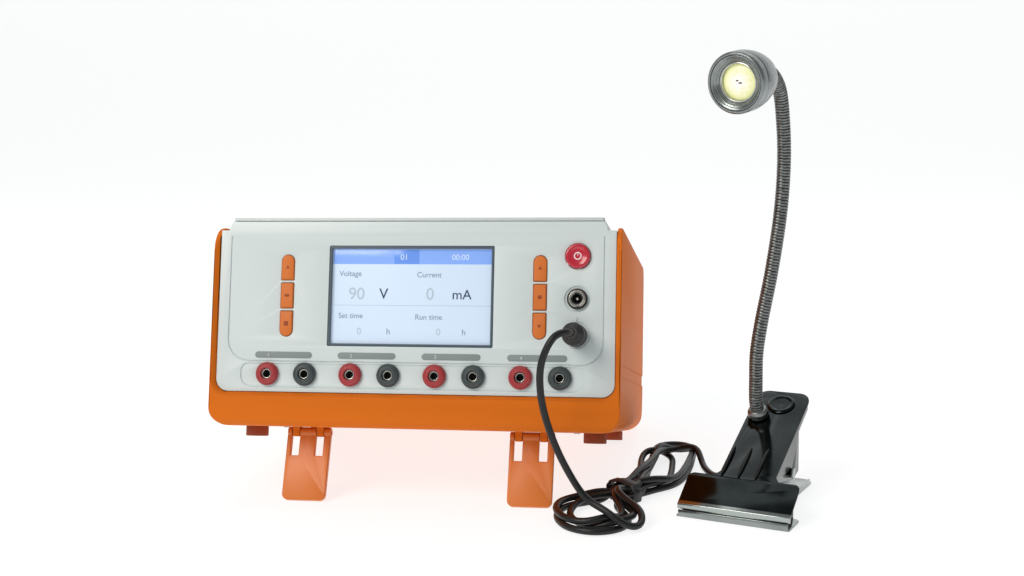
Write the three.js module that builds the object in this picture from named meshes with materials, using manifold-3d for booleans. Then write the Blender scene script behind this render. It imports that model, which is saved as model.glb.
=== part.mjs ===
// Benchtop electrophoresis power supply on fold-out legs, with its plug-in gooseneck clip lamp.
// Millimetres. X to the right, Y towards the back, Z up; the bench is Z = 0.
import * as THREE from "three";
import { mergeVertices } from "three/addons/utils/BufferGeometryUtils.js";
import Module from "manifold-3d";

const wasm = await Module();
wasm.setup();

// ---------------------------------------------------------------- driving dimensions
const DEG = Math.PI / 180;
const GAP = 0.3; // clearance between separate pieces

// Case frame: X across, Y into the case from the panel face, Z up the panel from the base.
const TILT = 13.6 * DEG; // the case leans back on its legs
const CASE_W = 266;
const CASE_H = 130;
const CASE_D = 241;
const WALL = 3.5;
const RIM = 3; // the orange rim stands proud of the panel
const SILL_H = 22; // orange band under the panel
const FOOT_H = 7;
const FOOT_R = 7.5;
const FOOT_X = 114;
const FOOT_FRONT_Y = 40;
const FOOT_REAR_Y = 186;
// The rear edge of the rear feet rests on the bench.
const CASE_LIFT = (FOOT_REAR_Y + FOOT_R) * Math.sin(TILT) + FOOT_H * Math.cos(TILT);

const HALF_PANEL = CASE_W / 2 - WALL - 0.2;
const SHOULDER_Z = 127;
const HOOD_Z = 135.3;
const HOOD_HALF = 121;
const SHOULDER_HALF = 124;
const PANEL_T = 3;

const SCREEN = { x0: -56, x1: 52, z0: 52.1, z1: 117.1 };
const KEY_COLUMNS = [-83.4, 81.5];
const KEY_W = 8.2;
const KEY_ROWS = [102.7, 84.5, 66.3];
const KEY_H = 16.2;
const CONTROL_X = 105.2;
const BUTTON_Z = 110.3;
const BUTTON_R = 7.9;
const JACK_ROWS = [83.1, 60.3];
const SOCKET_Z = 33.3;
const SOCKET_PITCH = 55;
const SOCKET_PAIR = 24.9;
const SOCKET_BORE_R = 2.3;

const LEG_X = 74.4;
const LEG_W = 29;
const LEG_T = 4;
const PIN_Y = 31;
const PIN_Z = -3.7;
const PIN_R = 1.2;
const LEG_LEAN = 26.5 * DEG; // forward of the vertical when folded out
const SLOT_X = [-8.9, 7.5];
const SLOT_W = 5.6;
const SLOT_L = 16;

// Lamp frame: X along the clip's lip, Y from the lip towards the handles, Z up.
const LAMP_AT = [202, -7];
const LAMP_YAW = -20 * DEG;
const SHEET = 1.2;
const JAW_HALF = 36;
const HANDLE_X0 = -17;
const HANDLE_X1 = 19;
const CLIP_L = 108;
const BEND_Y = 18.5;
const BEND_Z = 21.5;
const HANDLE_SLOPE = 26.2 * DEG;
const HINGE_Y = 56;
const HINGE_Z = 19.5;
const HINGE_R = 1.9;
const NECK_ON_PLATE = [-9.6, 75.8];
const NECK_R = 4.5;
const NECK_GAP = 2;
const NECK_PIECES = 5;
const NECK_PATH = [
  [216.8, 58.5, 76],
  [217, 56.5, 93],
  [219.5, 56, 112],
  [226, 58, 147],
  [231.3, 61, 185],
  [233, 61.5, 216],
  [232, 58, 241],
  [229, 50, 262],
];
const HEAD_FRONT = [201.4, -3, 265.5];
const HEAD_DIR = new THREE.Vector3(-0.45, -0.87, -0.12).normalize();
const HEAD_R = 18.5;
const HEAD_L = 36;

const CORD_R = 2.2;
const HANK_ENDS = [
  [116, -12],
  [161, 153],
];
const HANK_HALF = 25;
const HANK_Z0 = 2.2;
const HANK_Z1 = 13;
const HANK_WAIST = 9; // half width where the tie holds it
const WAIST_AT = 0.26; // the tie's place, as a share of the hank's length

const root = new THREE.Group();
const caseGroup = new THREE.Group();
caseGroup.rotation.x = -TILT;
caseGroup.position.z = CASE_LIFT;
const lampGroup = new THREE.Group();
lampGroup.rotation.z = LAMP_YAW;
lampGroup.position.set(LAMP_AT[0], LAMP_AT[1], 0);
const benchGroup = new THREE.Group();
root.add(caseGroup, lampGroup, benchGroup);

// ---------------------------------------------------------------- shape helpers
// Turns a closed geometry into a solid that can be joined and cut.
function solid(geometry) {
  const bare = geometry.clone();
  bare.deleteAttribute("normal");
  bare.deleteAttribute("uv");
  const merged = mergeVertices(bare, 1e-4);
  const triVerts = [];
  const index = merged.index.array;
  for (let i = 0; i < index.length; i += 3) {
    const [a, b, c] = [index[i], index[i + 1], index[i + 2]];
    if (a !== b && b !== c && c !== a) triVerts.push(a, b, c);
  }
  const build = (tris) =>
    new wasm.Manifold(
      new wasm.Mesh({
        numProp: 3,
        vertProperties: merged.attributes.position.array,
        triVerts: new Uint32Array(tris),
      }),
    );
  const made = build(triVerts);
  if (made.volume() > 0) return made;
  for (let i = 0; i < triVerts.length; i += 3)
    [triVerts[i + 1], triVerts[i + 2]] = [triVerts[i + 2], triVerts[i + 1]];
  return build(triVerts);
}

const join = (first, ...rest) => rest.reduce((a, b) => a.add(b), first);
const cut = (first, ...rest) => rest.reduce((a, b) => a.subtract(b), first);

function addPart(group, name, body, colour, roughness, metalness = 0) {
  const mesh = body.getMesh();
  const geometry = new THREE.BufferGeometry();
  geometry.setAttribute("position", new THREE.Float32BufferAttribute(mesh.vertProperties, 3));
  geometry.setIndex(new THREE.Uint32BufferAttribute(mesh.triVerts, 1));
  geometry.computeVertexNormals();
  const part = new THREE.Mesh(
    geometry,
    new THREE.MeshStandardMaterial({ color: colour, roughness, metalness }),
  );
  part.name = name;
  group.add(part);
}

function box(x0, x1, y0, y1, z0, z1) {
  const g = new THREE.BoxGeometry(x1 - x0, y1 - y0, z1 - z0);
  g.translate((x0 + x1) / 2, (y0 + y1) / 2, (z0 + z1) / 2);
  return solid(g);
}

// Rounded rectangle; radii run bottom left, bottom right, top right, top left.
function roundRect(x0, z0, x1, z1, [bl, br, tr, tl]) {
  const s = new THREE.Shape();
  s.moveTo(x0 + bl, z0);
  s.lineTo(x1 - br, z0);
  if (br) s.absarc(x1 - br, z0 + br, br, -Math.PI / 2, 0, false);
  s.lineTo(x1, z1 - tr);
  if (tr) s.absarc(x1 - tr, z1 - tr, tr, 0, Math.PI / 2, false);
  s.lineTo(x0 + tl, z1);
  if (tl) s.absarc(x0 + tl, z1 - tl, tl, Math.PI / 2, Math.PI, false);
  s.lineTo(x0, z0 + bl);
  if (bl) s.absarc(x0 + bl, z0 + bl, bl, Math.PI, 1.5 * Math.PI, false);
  return s;
}

function polygon(points) {
  return new THREE.Shape(points.map(([x, y]) => new THREE.Vector2(x, y)));
}

// Extrudes an X-Z outline along Y.
function slabY(shape, y0, y1, curveSegments = 6) {
  const g = new THREE.ExtrudeGeometry(shape, { depth: y1 - y0, bevelEnabled: false, curveSegments });
  g.rotateX(Math.PI / 2);
  g.translate(0, y1, 0);
  return solid(g);
}

// Extrudes a Y-Z outline along X.
function slabX(shape, x0, x1, curveSegments = 6) {
  const g = new THREE.ExtrudeGeometry(shape, { depth: x1 - x0, bevelEnabled: false, curveSegments });
  g.applyMatrix4(
    new THREE.Matrix4().makeBasis(
      new THREE.Vector3(0, 1, 0),
      new THREE.Vector3(0, 0, 1),
      new THREE.Vector3(1, 0, 0),
    ),
  );
  g.translate(x0, 0, 0);
  return solid(g);
}

// Extrudes an X-Y outline along Z.
function slabZ(shape, z0, z1, curveSegments = 6) {
  const g = new THREE.ExtrudeGeometry(shape, { depth: z1 - z0, bevelEnabled: false, curveSegments });
  g.translate(0, 0, z0);
  return solid(g);
}

function rodX(r, x0, x1, y, z, segments = 16) {
  const g = new THREE.CylinderGeometry(r, r, x1 - x0, segments);
  g.rotateZ(Math.PI / 2);
  g.translate((x0 + x1) / 2, y, z);
  return solid(g);
}

function rodY(r, x, y0, y1, z, segments = 24) {
  const g = new THREE.CylinderGeometry(r, r, y1 - y0, segments);
  g.translate(x, (y0 + y1) / 2, z);
  return solid(g);
}

function rodZ(r, x, y, z0, z1, segments = 24) {
  const g = new THREE.CylinderGeometry(r, r, z1 - z0, segments);
  g.rotateX(Math.PI / 2);
  g.translate(x, y, (z0 + z1) / 2);
  return solid(g);
}

// Turned body on the Y axis through (x, z); the profile lists [radius, y] round a closed loop.
function turnedY(profile, x, z, segments = 24) {
  const points = [...profile, profile[0]].map(([r, y]) => new THREE.Vector2(r, y));
  const g = new THREE.LatheGeometry(points, segments);
  g.translate(x, 0, z);
  return solid(g);
}

// Turned body whose axis starts at `at` and runs along `dir`; the profile lists [radius, distance].
function turnedAlong(profile, at, dir, segments = 28) {
  const points = [...profile, profile[0]].map(([r, y]) => new THREE.Vector2(r, y));
  const g = new THREE.LatheGeometry(points, segments);
  const turn = new THREE.Quaternion().setFromUnitVectors(new THREE.Vector3(0, 1, 0), dir);
  g.applyMatrix4(new THREE.Matrix4().compose(at, turn, new THREE.Vector3(1, 1, 1)));
  return solid(g);
}

// Round bar swept along a curve between two fractions of its length.
function sweep(curve, t0, t1, radius, sides, steps) {
  const part = new THREE.CatmullRomCurve3(
    Array.from({ length: steps + 1 }, (_, i) => curve.getPointAt(t0 + ((t1 - t0) * i) / steps)),
  );
  const circle = new THREE.Shape();
  for (let i = 0; i < sides; i++) {
    const a = (2 * Math.PI * i) / sides;
    const p = [radius * Math.cos(a), radius * Math.sin(a)];
    if (i) circle.lineTo(...p);
    else circle.moveTo(...p);
  }
  return solid(new THREE.ExtrudeGeometry(circle, { steps, extrudePath: part, bevelEnabled: false }));
}

// ---------------------------------------------------------------- case shell
const ORANGE = 0xd8722a;
const PANEL_GREY = 0xd9e2e1;
const half = CASE_W / 2;

function caseShell() {
  const outer = slabY(roundRect(-half, 0, half, CASE_H, [12, 12, 2, 2]), -RIM, CASE_D).intersect(
    slabX(roundRect(-RIM, 0, CASE_D, CASE_H, [8, 30, 12, 16]), -half - 1, half + 1, 8),
  );
  const inner = half - WALL;
  const cavity = slabY(roundRect(-inner, WALL, inner, 160, [8.5, 8.5, 0, 0]), 2, CASE_D - WALL);
  const cavityEnds = slabX(roundRect(2, WALL, CASE_D - WALL, 160, [1, 26.5, 0, 0]), -inner - 1, inner + 1);
  const frontHole = slabY(roundRect(-inner, SILL_H, inner, 160, [8, 8, 0, 0]), -10, 2.6);
  // The rim's inner edge is chamfered back to the panel.
  const flare = 2.6;
  const g = new THREE.ExtrudeGeometry(
    roundRect(-inner - flare, SILL_H - flare, inner + flare, 160, [8 + flare, 8 + flare, 0, 0]),
    {
      depth: 6,
      bevelEnabled: true,
      bevelThickness: RIM,
      bevelSize: flare,
      bevelOffset: -flare,
      bevelSegments: 1,
      curveSegments: 6,
    },
  );
  g.rotateX(Math.PI / 2);
  g.translate(0, -RIM, 0);
  const rearHole = slabY(roundRect(-inner + 5, 36, inner - 5, 160, [6, 6, 0, 0]), CASE_D - 6, CASE_D + 5);
  // Above the rear panel the wall opens to full width for the top cover.
  const coverWay = box(-inner, inner, CASE_D - 6, CASE_D + 5, SHOULDER_Z - 4, 160);
  // A shallow band runs along each side.
  const grooves = [-1, 1].map((s) =>
    s < 0
      ? box(-half - 1, -half + 0.7, 8, CASE_D + 1, 35, 43)
      : box(half - 0.7, half + 1, 8, CASE_D + 1, 35, 43),
  );
  let shell = cut(outer, cavity.intersect(cavityEnds), frontHole, solid(g), rearHole, coverWay, ...grooves);
  // Two lugs hold each leg's pin, inside the leg's slots.
  for (const side of [-1, 1])
    for (const slot of SLOT_X) {
      const x = side * LEG_X + slot;
      const lug = slabX(
        polygon([
          [PIN_Y - 3, 1],
          [PIN_Y - 3, PIN_Z - 1],
          [PIN_Y - 1, PIN_Z - 3],
          [PIN_Y + 1, PIN_Z - 3],
          [PIN_Y + 3, PIN_Z - 1],
          [PIN_Y + 3, 1],
        ]),
        x - SLOT_W / 2 + GAP,
        x + SLOT_W / 2 - GAP,
      );
      shell = join(shell, cut(lug, rodX(PIN_R + 0.1, x - 5, x + 5, PIN_Y, PIN_Z, 12)));
    }
  return shell;
}
addPart(caseGroup, "case_shell", caseShell(), ORANGE, 0.38);

// ---------------------------------------------------------------- front panel
function controlPositions() {
  const sockets = [];
  for (let i = 0; i < 4; i++)
    for (const [k, side] of ["red", "black"].entries())
      sockets.push({
        name: `socket_${side}_${i + 1}`,
        x: (i - 1.5) * SOCKET_PITCH + (k - 0.5) * SOCKET_PAIR,
        red: k === 0,
      });
  return sockets;
}
const sockets = controlPositions();

// One key: the top and bottom keys of a column have one round end.
function keyOutline(x, z, row, grow) {
  const w = KEY_W / 2 + grow;
  const h = KEY_H / 2 + grow;
  const r = w - 0.05;
  const radii = [0, 0, 0, 0];
  if (row === 0) radii[2] = radii[3] = r;
  if (row === 2) radii[0] = radii[1] = r;
  return roundRect(x - w, z - h, x + w, z + h, radii);
}

function frontPanel() {
  const h = HALF_PANEL;
  const outline = new THREE.Shape();
  outline.moveTo(-h + 8, SILL_H + GAP);
  outline.lineTo(h - 8, SILL_H + GAP);
  outline.absarc(h - 8, SILL_H + GAP + 8, 8, -Math.PI / 2, 0, false);
  outline.lineTo(h, SHOULDER_Z);
  outline.lineTo(SHOULDER_HALF, SHOULDER_Z);
  outline.lineTo(HOOD_HALF + 0.8, HOOD_Z - 2.5);
  outline.lineTo(-HOOD_HALF - 0.8, HOOD_Z - 2.5);
  outline.lineTo(-SHOULDER_HALF, SHOULDER_Z);
  outline.lineTo(-h, SHOULDER_Z);
  outline.lineTo(-h, SILL_H + GAP + 8);
  outline.absarc(-h + 8, SILL_H + GAP + 8, 8, Math.PI, 1.5 * Math.PI, false);
  const holes = [
    slabY(roundRect(SCREEN.x0, SCREEN.z0, SCREEN.x1, SCREEN.z1, [1, 1, 1, 1]), -1, 5),
    rodY(BUTTON_R + 0.4, CONTROL_X, -1, 5, BUTTON_Z),
  ];
  for (const x of KEY_COLUMNS)
    for (const [row, z] of KEY_ROWS.entries()) holes.push(slabY(keyOutline(x, z, row, 0.35), -1, 5, 4));
  for (const z of JACK_ROWS) {
    holes.push(rodY(5.9, CONTROL_X, -1, 5, z, 20));
    holes.push(rodY(8.2, CONTROL_X, -1, 0.4, z));
  }
  for (const s of sockets) holes.push(rodY(6.4, s.x, -1, 5, SOCKET_Z, 16));
  // Groove round the upper field, and the shallow strip the sockets sit in.
  const groove = slabY(roundRect(-122.4, 41.4, 122.4, 160, [15, 15, 0, 0]), -1, 0.6)
    .subtract(slabY(roundRect(-121.5, 42.3, 121.5, 161, [14, 14, 0, 0]), -2, 1))
    .intersect(box(-125, 125, -3, 2, 40, 123));
  const strip = slabY(roundRect(-113, 25, 111, 41, [8, 8, 5, 5]), -1, 0.7);
  return cut(slabY(outline, 0, PANEL_T), ...holes, groove, strip);
}
addPart(caseGroup, "front_panel", frontPanel(), PANEL_GREY, 0.45);

// ---------------------------------------------------------------- top cover and rear panel
function topCover() {
  const h = HALF_PANEL;
  const t = 2.4;
  const profile = polygon([
    [-h, SHOULDER_Z - t],
    [-SHOULDER_HALF + 1.8, SHOULDER_Z - t],
    [-HOOD_HALF + 1.8, HOOD_Z - t],
    [HOOD_HALF - 1.8, HOOD_Z - t],
    [SHOULDER_HALF - 1.8, SHOULDER_Z - t],
    [h, SHOULDER_Z - t],
    [h, SHOULDER_Z],
    [SHOULDER_HALF, SHOULDER_Z],
    [HOOD_HALF, HOOD_Z],
    [-HOOD_HALF, HOOD_Z],
    [-SHOULDER_HALF, SHOULDER_Z],
    [-h, SHOULDER_Z],
  ]);
  const lip = box(-HOOD_HALF + 0.1, HOOD_HALF - 0.1, 0.4, 4, HOOD_Z - 2.2, HOOD_Z - 0.02);
  return join(slabY(profile, PANEL_T + GAP, CASE_D - 0.6), lip);
}
addPart(caseGroup, "top_cover", topCover(), 0xd0d6d4, 0.5);

const INLET = { x: -80, z: 66, w: 28, h: 21 };
const FAN = { x: 70, z: 80, size: 60 };
function rearPanel() {
  const h = half - WALL - 5 - GAP;
  const plate = slabY(roundRect(-h, 36.3, h, SHOULDER_Z - 2.7, [6, 6, 1, 1]), CASE_D - 3, CASE_D - 0.5);
  const vents = [];
  for (let i = 0; i < 9; i++) {
    const x = FAN.x - 24 + i * 6;
    vents.push(box(x - 1.5, x + 1.5, CASE_D - 5, CASE_D + 1, FAN.z - 24, FAN.z + 24));
  }
  const inletHole = box(
    INLET.x - INLET.w / 2 - GAP,
    INLET.x + INLET.w / 2 + GAP,
    CASE_D - 5,
    CASE_D + 1,
    INLET.z - INLET.h / 2 - GAP,
    INLET.z + INLET.h / 2 + GAP,
  );
  return cut(plate, inletHole, ...vents);
}
addPart(caseGroup, "rear_panel", rearPanel(), 0xc4c9c8, 0.55);

function mainsInlet() {
  const { x, z, w, h } = INLET;
  const face = CASE_D + 2;
  const flange = slabY(roundRect(x - 24, z - 14, x + 24, z + 14, [4, 4, 4, 4]), CASE_D - 0.2, face, 3);
  const body = box(x - w / 2, x + w / 2, face - 21, face - 0.1, z - h / 2, z + h / 2);
  const recess = box(x - w / 2 + 2, x + w / 2 - 2, face - 17, face + 1, z - h / 2 + 2, z + h / 2 - 2);
  const pins = [-7, 0, 7].map((dx, i) =>
    box(x + dx - 1, x + dx + 1, face - 18, face - 6, z - 2 + (i === 1 ? 3 : -3), z + 2 + (i === 1 ? 3 : -3)),
  );
  return join(cut(join(flange, body), recess), ...pins);
}
addPart(caseGroup, "mains_inlet", mainsInlet(), 0x17191a, 0.5);

// ---------------------------------------------------------------- display
function screenBezel() {
  const outer = roundRect(SCREEN.x0 + GAP, SCREEN.z0 + GAP, SCREEN.x1 - GAP, SCREEN.z1 - GAP, [1, 1, 1, 1]);
  const b = 1.9;
  const window = box(SCREEN.x0 + b, SCREEN.x1 - b, -2, 4, SCREEN.z0 + b, SCREEN.z1 - b);
  return slabY(outer, 0.6, 2.4).subtract(window);
}
addPart(caseGroup, "screen_bezel", screenBezel(), 0x2e3640, 0.45);
addPart(
  caseGroup,
  "display_module",
  box(SCREEN.x0 + GAP, SCREEN.x1 - GAP, 2.7, 8, SCREEN.z0 + GAP, SCREEN.z1 - GAP),
  0xdcebfa,
  0.12,
);

// ---------------------------------------------------------------- keys and power button
const KEY_BACK = 5;
for (const [c, x] of KEY_COLUMNS.entries())
  for (const [row, z] of KEY_ROWS.entries())
    addPart(
      caseGroup,
      `key_${c ? "right" : "left"}_${row + 1}`,
      slabY(keyOutline(x, z, row, 0), -1, KEY_BACK, 4),
      0xdb7a30,
      0.42,
    );

addPart(
  caseGroup,
  "power_button",
  turnedY(
    [
      [0, -2.6],
      [BUTTON_R - 1.2, -2.6],
      [BUTTON_R, -1.8],
      [BUTTON_R, 3],
      [5, 3],
      [5, 6.5],
      [0, 6.5],
    ],
    CONTROL_X,
    BUTTON_Z,
  ),
  0xc4283a,
  0.35,
);
addPart(
  caseGroup,
  "power_switch",
  box(CONTROL_X - 7, CONTROL_X + 7, 8.6, 24, BUTTON_Z - 7, BUTTON_Z + 7),
  0x1b1d1f,
  0.5,
);

// ---------------------------------------------------------------- lamp jacks
for (const [i, z] of JACK_ROWS.entries()) {
  const which = i ? "lower" : "upper";
  const bore = 3.5;
  const housing = turnedY(
    [
      [0, 13],
      [0, -1.5],
      [1.0, -1.5],
      [1.0, 10],
      [bore, 10],
      [bore, -1.4],
      [6.6, -1.4],
      [6.6, 0],
      [5.5, 0],
      [5.5, 13],
    ],
    CONTROL_X,
    z,
  );
  addPart(caseGroup, `jack_${which}`, housing, 0x16191b, 0.4);
  const ring = [
    [bore + 0.1, -2.8],
    [5.1, -2.8],
    [5.1, -1.7],
    [bore + 0.1, -1.7],
  ];
  addPart(caseGroup, `jack_${which}_nut`, turnedY(ring, CONTROL_X, z), 0xc8cccd, 0.25, 1);
}

// ---------------------------------------------------------------- output sockets
for (const s of sockets) {
  const b = SOCKET_BORE_R;
  const profile = [
    [0, 17],
    [0, 14],
    [b, 14],
    [b, -3.2],
    [5.2, -3.2],
    [7.0, -1.9],
    [7.5, -1.2],
    [7.5, 0.5],
    [6, 0.5],
    [6, 17],
  ];
  addPart(
    caseGroup,
    s.name,
    turnedY(profile, s.x, SOCKET_Z, 20),
    s.red ? 0xa82a33 : 0x1e2a2e,
    0.35,
  );
}

// ---------------------------------------------------------------- feet and fold-out legs
for (const [place, y] of [
  ["front", FOOT_FRONT_Y],
  ["rear", FOOT_REAR_Y],
])
  for (const [side, sx] of [
    ["left", -1],
    ["right", 1],
  ])
    addPart(
      caseGroup,
      `foot_${place}_${side}`,
      rodZ(FOOT_R, sx * FOOT_X, y, -FOOT_H, -GAP, 20),
      0x6a1a14,
      0.75,
    );

// The leg hangs from its pin; it is turned from straight down to its folded-out angle.
const pinWorldZ = CASE_LIFT + PIN_Z * Math.cos(TILT) - PIN_Y * Math.sin(TILT);
const LEG_LENGTH = (pinWorldZ - (LEG_T / 2) * Math.sin(LEG_LEAN)) / Math.cos(LEG_LEAN);
function leg(x) {
  const plate = slabY(
    roundRect(x - LEG_W / 2, -LEG_LENGTH, x + LEG_W / 2, 0, [4, 4, 0, 0]),
    -LEG_T / 2,
    LEG_T / 2,
  );
  let body = join(plate, rodX(3.2, x - LEG_W / 2, x + LEG_W / 2, 0, 0, 20));
  for (const s of SLOT_X)
    body = body.subtract(box(x + s - SLOT_W / 2, x + s + SLOT_W / 2, -6, 6, -SLOT_L, 6));
  return body.subtract(rodX(PIN_R + GAP, x - LEG_W, x + LEG_W, 0, 0, 12));
}
for (const [side, sx] of [
  ["left", -1],
  ["right", 1],
]) {
  const hinge = new THREE.Group();
  hinge.position.set(0, PIN_Y, PIN_Z);
  hinge.rotation.x = -(LEG_LEAN - TILT);
  caseGroup.add(hinge);
  const x = sx * LEG_X;
  addPart(hinge, `leg_${side}`, leg(x), ORANGE, 0.4);
  const pin = rodX(PIN_R, x - LEG_W / 2 + 0.5, x + LEG_W / 2 - 0.5, PIN_Y, PIN_Z, 12);
  addPart(caseGroup, `leg_pin_${side}`, pin, 0xb8bcbd, 0.3, 1);
}

// ---------------------------------------------------------------- inside the case
function mainBoard() {
  const board = box(-95, 105, 62, 214, 12, 13.6);
  const heatSink = [0, 1, 2, 3, 4].map((i) => box(20 + i * 7, 23 + i * 7, 90, 160, 13.5, 50));
  const sinkBase = box(18, 53, 90, 160, 13.5, 18);
  const capacitors = [0, 1, 2].map((i) => rodZ(9, 75, 84 + i * 24, 13.5, 40, 16));
  const posts = [
    [-85, 72],
    [95, 72],
    [-85, 204],
    [95, 204],
  ].map(([x, y]) => rodZ(4, x, y, WALL + GAP, 12.1, 8));
  return join(board, sinkBase, ...heatSink, ...capacitors, ...posts);
}
addPart(caseGroup, "main_board", mainBoard(), 0x2c6b45, 0.6);

function transformer() {
  const core = box(-80, -24, 100, 150, 13.9, 62);
  const winding = slabY(roundRect(-72, 20, -32, 56, [8, 8, 8, 8]), 92, 158, 3);
  return join(core, winding);
}
addPart(caseGroup, "transformer", transformer(), 0x5a5048, 0.6);

function frontBoard() {
  const board = box(-92, 92, 12, 13.6, 46, 122);
  const tappers = [];
  for (const x of KEY_COLUMNS) for (const z of KEY_ROWS) tappers.push(rodY(2, x, 6.6, 12.1, z, 10));
  return join(board, ...tappers);
}
addPart(caseGroup, "front_board", frontBoard(), 0x2c6b45, 0.6);

function coolingFan() {
  const s = FAN.size / 2;
  const frame = box(FAN.x - s, FAN.x + s, CASE_D - 19, CASE_D - 4, FAN.z - s, FAN.z + s);
  const bore = rodY(28, FAN.x, CASE_D - 20, CASE_D - 3, FAN.z, 32);
  const hub = rodY(12, FAN.x, CASE_D - 18, CASE_D - 5, FAN.z, 20);
  const arms = [
    box(FAN.x - 29, FAN.x + 29, CASE_D - 7, CASE_D - 5, FAN.z - 2, FAN.z + 2),
    box(FAN.x - 2, FAN.x + 2, CASE_D - 7, CASE_D - 5, FAN.z - 29, FAN.z + 29),
  ];
  return join(cut(frame, bore), hub, ...arms);
}
addPart(caseGroup, "cooling_fan", coolingFan(), 0x202325, 0.55);

// ---------------------------------------------------------------- lamp clip
const CHROME = 0x9aa0a2;
const LIP_Z = 8;
const LIP_SPLIT = 4.4;
const slopeZ = (y) => BEND_Z + (y - BEND_Y) * Math.tan(HANDLE_SLOPE);
const HANDLE_END_Y = 100;

// Plan outline shared by both plates: a wide jaw and a narrower handle with round corners.
function clipOutline(endY) {
  const r = 8;
  const s = new THREE.Shape();
  s.moveTo(-JAW_HALF, -2);
  s.lineTo(JAW_HALF, -2);
  s.lineTo(JAW_HALF, 17);
  s.absarc(JAW_HALF - 4, 17, 4, 0, Math.PI / 2, false);
  s.lineTo(HANDLE_X1 + 3, 21);
  s.lineTo(HANDLE_X1, 25);
  s.lineTo(HANDLE_X1, endY - r);
  s.absarc(HANDLE_X1 - r, endY - r, r, 0, Math.PI / 2, false);
  s.lineTo(HANDLE_X0 + r, endY);
  s.absarc(HANDLE_X0 + r, endY - r, r, Math.PI / 2, Math.PI, false);
  s.lineTo(HANDLE_X0, 25);
  s.lineTo(HANDLE_X0 - 3, 21);
  s.lineTo(-JAW_HALF + 4, 21);
  s.absarc(-JAW_HALF + 4, 17, 4, Math.PI / 2, Math.PI, false);
  return s;
}

function upperPlate() {
  const end = HANDLE_END_Y + 1;
  const profile = polygon([
    [-SHEET / 2, LIP_SPLIT + 0.2],
    [SHEET / 2, LIP_SPLIT + 0.2],
    [SHEET / 2, LIP_Z - 0.6],
    [BEND_Y + 0.6, BEND_Z - 1.5],
    [end, slopeZ(end) - 1.35],
    [end, slopeZ(end)],
    [BEND_Y, BEND_Z],
    [-SHEET / 2, LIP_Z],
  ]);
  const sheet = slabX(profile, -JAW_HALF, JAW_HALF).intersect(slabZ(clipOutline(HANDLE_END_Y), -5, 90));
  const earShape = polygon([
    [22, slopeZ(22) - 0.7],
    [72, slopeZ(72) - 0.7],
    [72, 17],
    [61, 14.2],
    [51, 14.2],
    [22, 21],
  ]);
  const ears = [
    slabX(earShape, HANDLE_X0, HANDLE_X0 + SHEET),
    slabX(earShape, HANDLE_X1 - SHEET, HANDLE_X1),
  ];
  // A narrow flange stiffens each long edge of the handle.
  const flangeShape = polygon([
    [70, slopeZ(70) - 0.7],
    [91, slopeZ(91) - 0.7],
    [91, slopeZ(91) - 4],
    [70, slopeZ(70) - 5],
  ]);
  const flanges = [
    slabX(flangeShape, HANDLE_X0, HANDLE_X0 + SHEET),
    slabX(flangeShape, HANDLE_X1 - SHEET, HANDLE_X1),
  ];
  const [nx, ny] = NECK_ON_PLATE;
  return cut(
    join(sheet, ...ears, ...flanges),
    rodX(HINGE_R + 0.1, -40, 40, HINGE_Y, HINGE_Z, 16),
    rodZ(3.4, nx, ny, slopeZ(ny) - 12, slopeZ(ny) + 8, 16),
  );
}
addPart(lampGroup, "clip_upper_plate", upperPlate(), CHROME, 0.14, 1);

const EAR_IN = SHEET + 0.3;
function lowerPlate() {
  const base = slabZ(clipOutline(CLIP_L), 0, SHEET);
  const lip = box(-JAW_HALF + 1, JAW_HALF - 1, -2, -2 + SHEET, 0, LIP_SPLIT);
  const earShape = polygon([
    [34, 1],
    [78, 1],
    [62, 20],
    [60, 24],
    [52, 24],
    [50, 20],
  ]);
  const x0 = HANDLE_X0 + EAR_IN;
  const x1 = HANDLE_X1 - EAR_IN;
  const ears = [slabX(earShape, x0, x0 + SHEET), slabX(earShape, x1 - SHEET, x1)];
  const flange = polygon([
    [28, 1],
    [100, 1],
    [98, 4.5],
    [30, 4.5],
  ]);
  const flanges = [
    slabX(flange, HANDLE_X0, HANDLE_X0 + SHEET),
    slabX(flange, HANDLE_X1 - SHEET, HANDLE_X1),
  ];
  return cut(join(base, lip, ...ears, ...flanges), rodX(HINGE_R + GAP, -40, 40, HINGE_Y, HINGE_Z, 16));
}
addPart(lampGroup, "clip_lower_plate", lowerPlate(), CHROME, 0.14, 1);

function clipPin() {
  const shank = rodX(HINGE_R, HANDLE_X0 - 1, HANDLE_X1 + 1, HINGE_Y, HINGE_Z, 16);
  const heads = [
    rodX(3.2, HANDLE_X0 - 2, HANDLE_X0 - GAP, HINGE_Y, HINGE_Z, 16),
    rodX(3.2, HANDLE_X1 + GAP, HANDLE_X1 + 2, HINGE_Y, HINGE_Z, 16),
  ];
  return join(shank, ...heads);
}
addPart(lampGroup, "clip_pin", clipPin(), 0xb8bcbd, 0.25, 1);

function clipSpring() {
  const coil = rodX(5, -11, 13, HINGE_Y, HINGE_Z, 20);
  const legs = [-10, 12].map((x) =>
    slabX(
      polygon([
        [HINGE_Y, HINGE_Z - 5],
        [HINGE_Y, HINGE_Z - 3],
        [HINGE_Y + 26, SHEET + 2],
        [HINGE_Y + 26, SHEET + GAP],
      ]),
      x - 0.9,
      x + 0.9,
    ),
  );
  return cut(join(coil, ...legs), rodX(HINGE_R + GAP, -40, 40, HINGE_Y, HINGE_Z, 16));
}
addPart(lampGroup, "clip_spring", clipSpring(), 0x8e9496, 0.3, 1);

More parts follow.
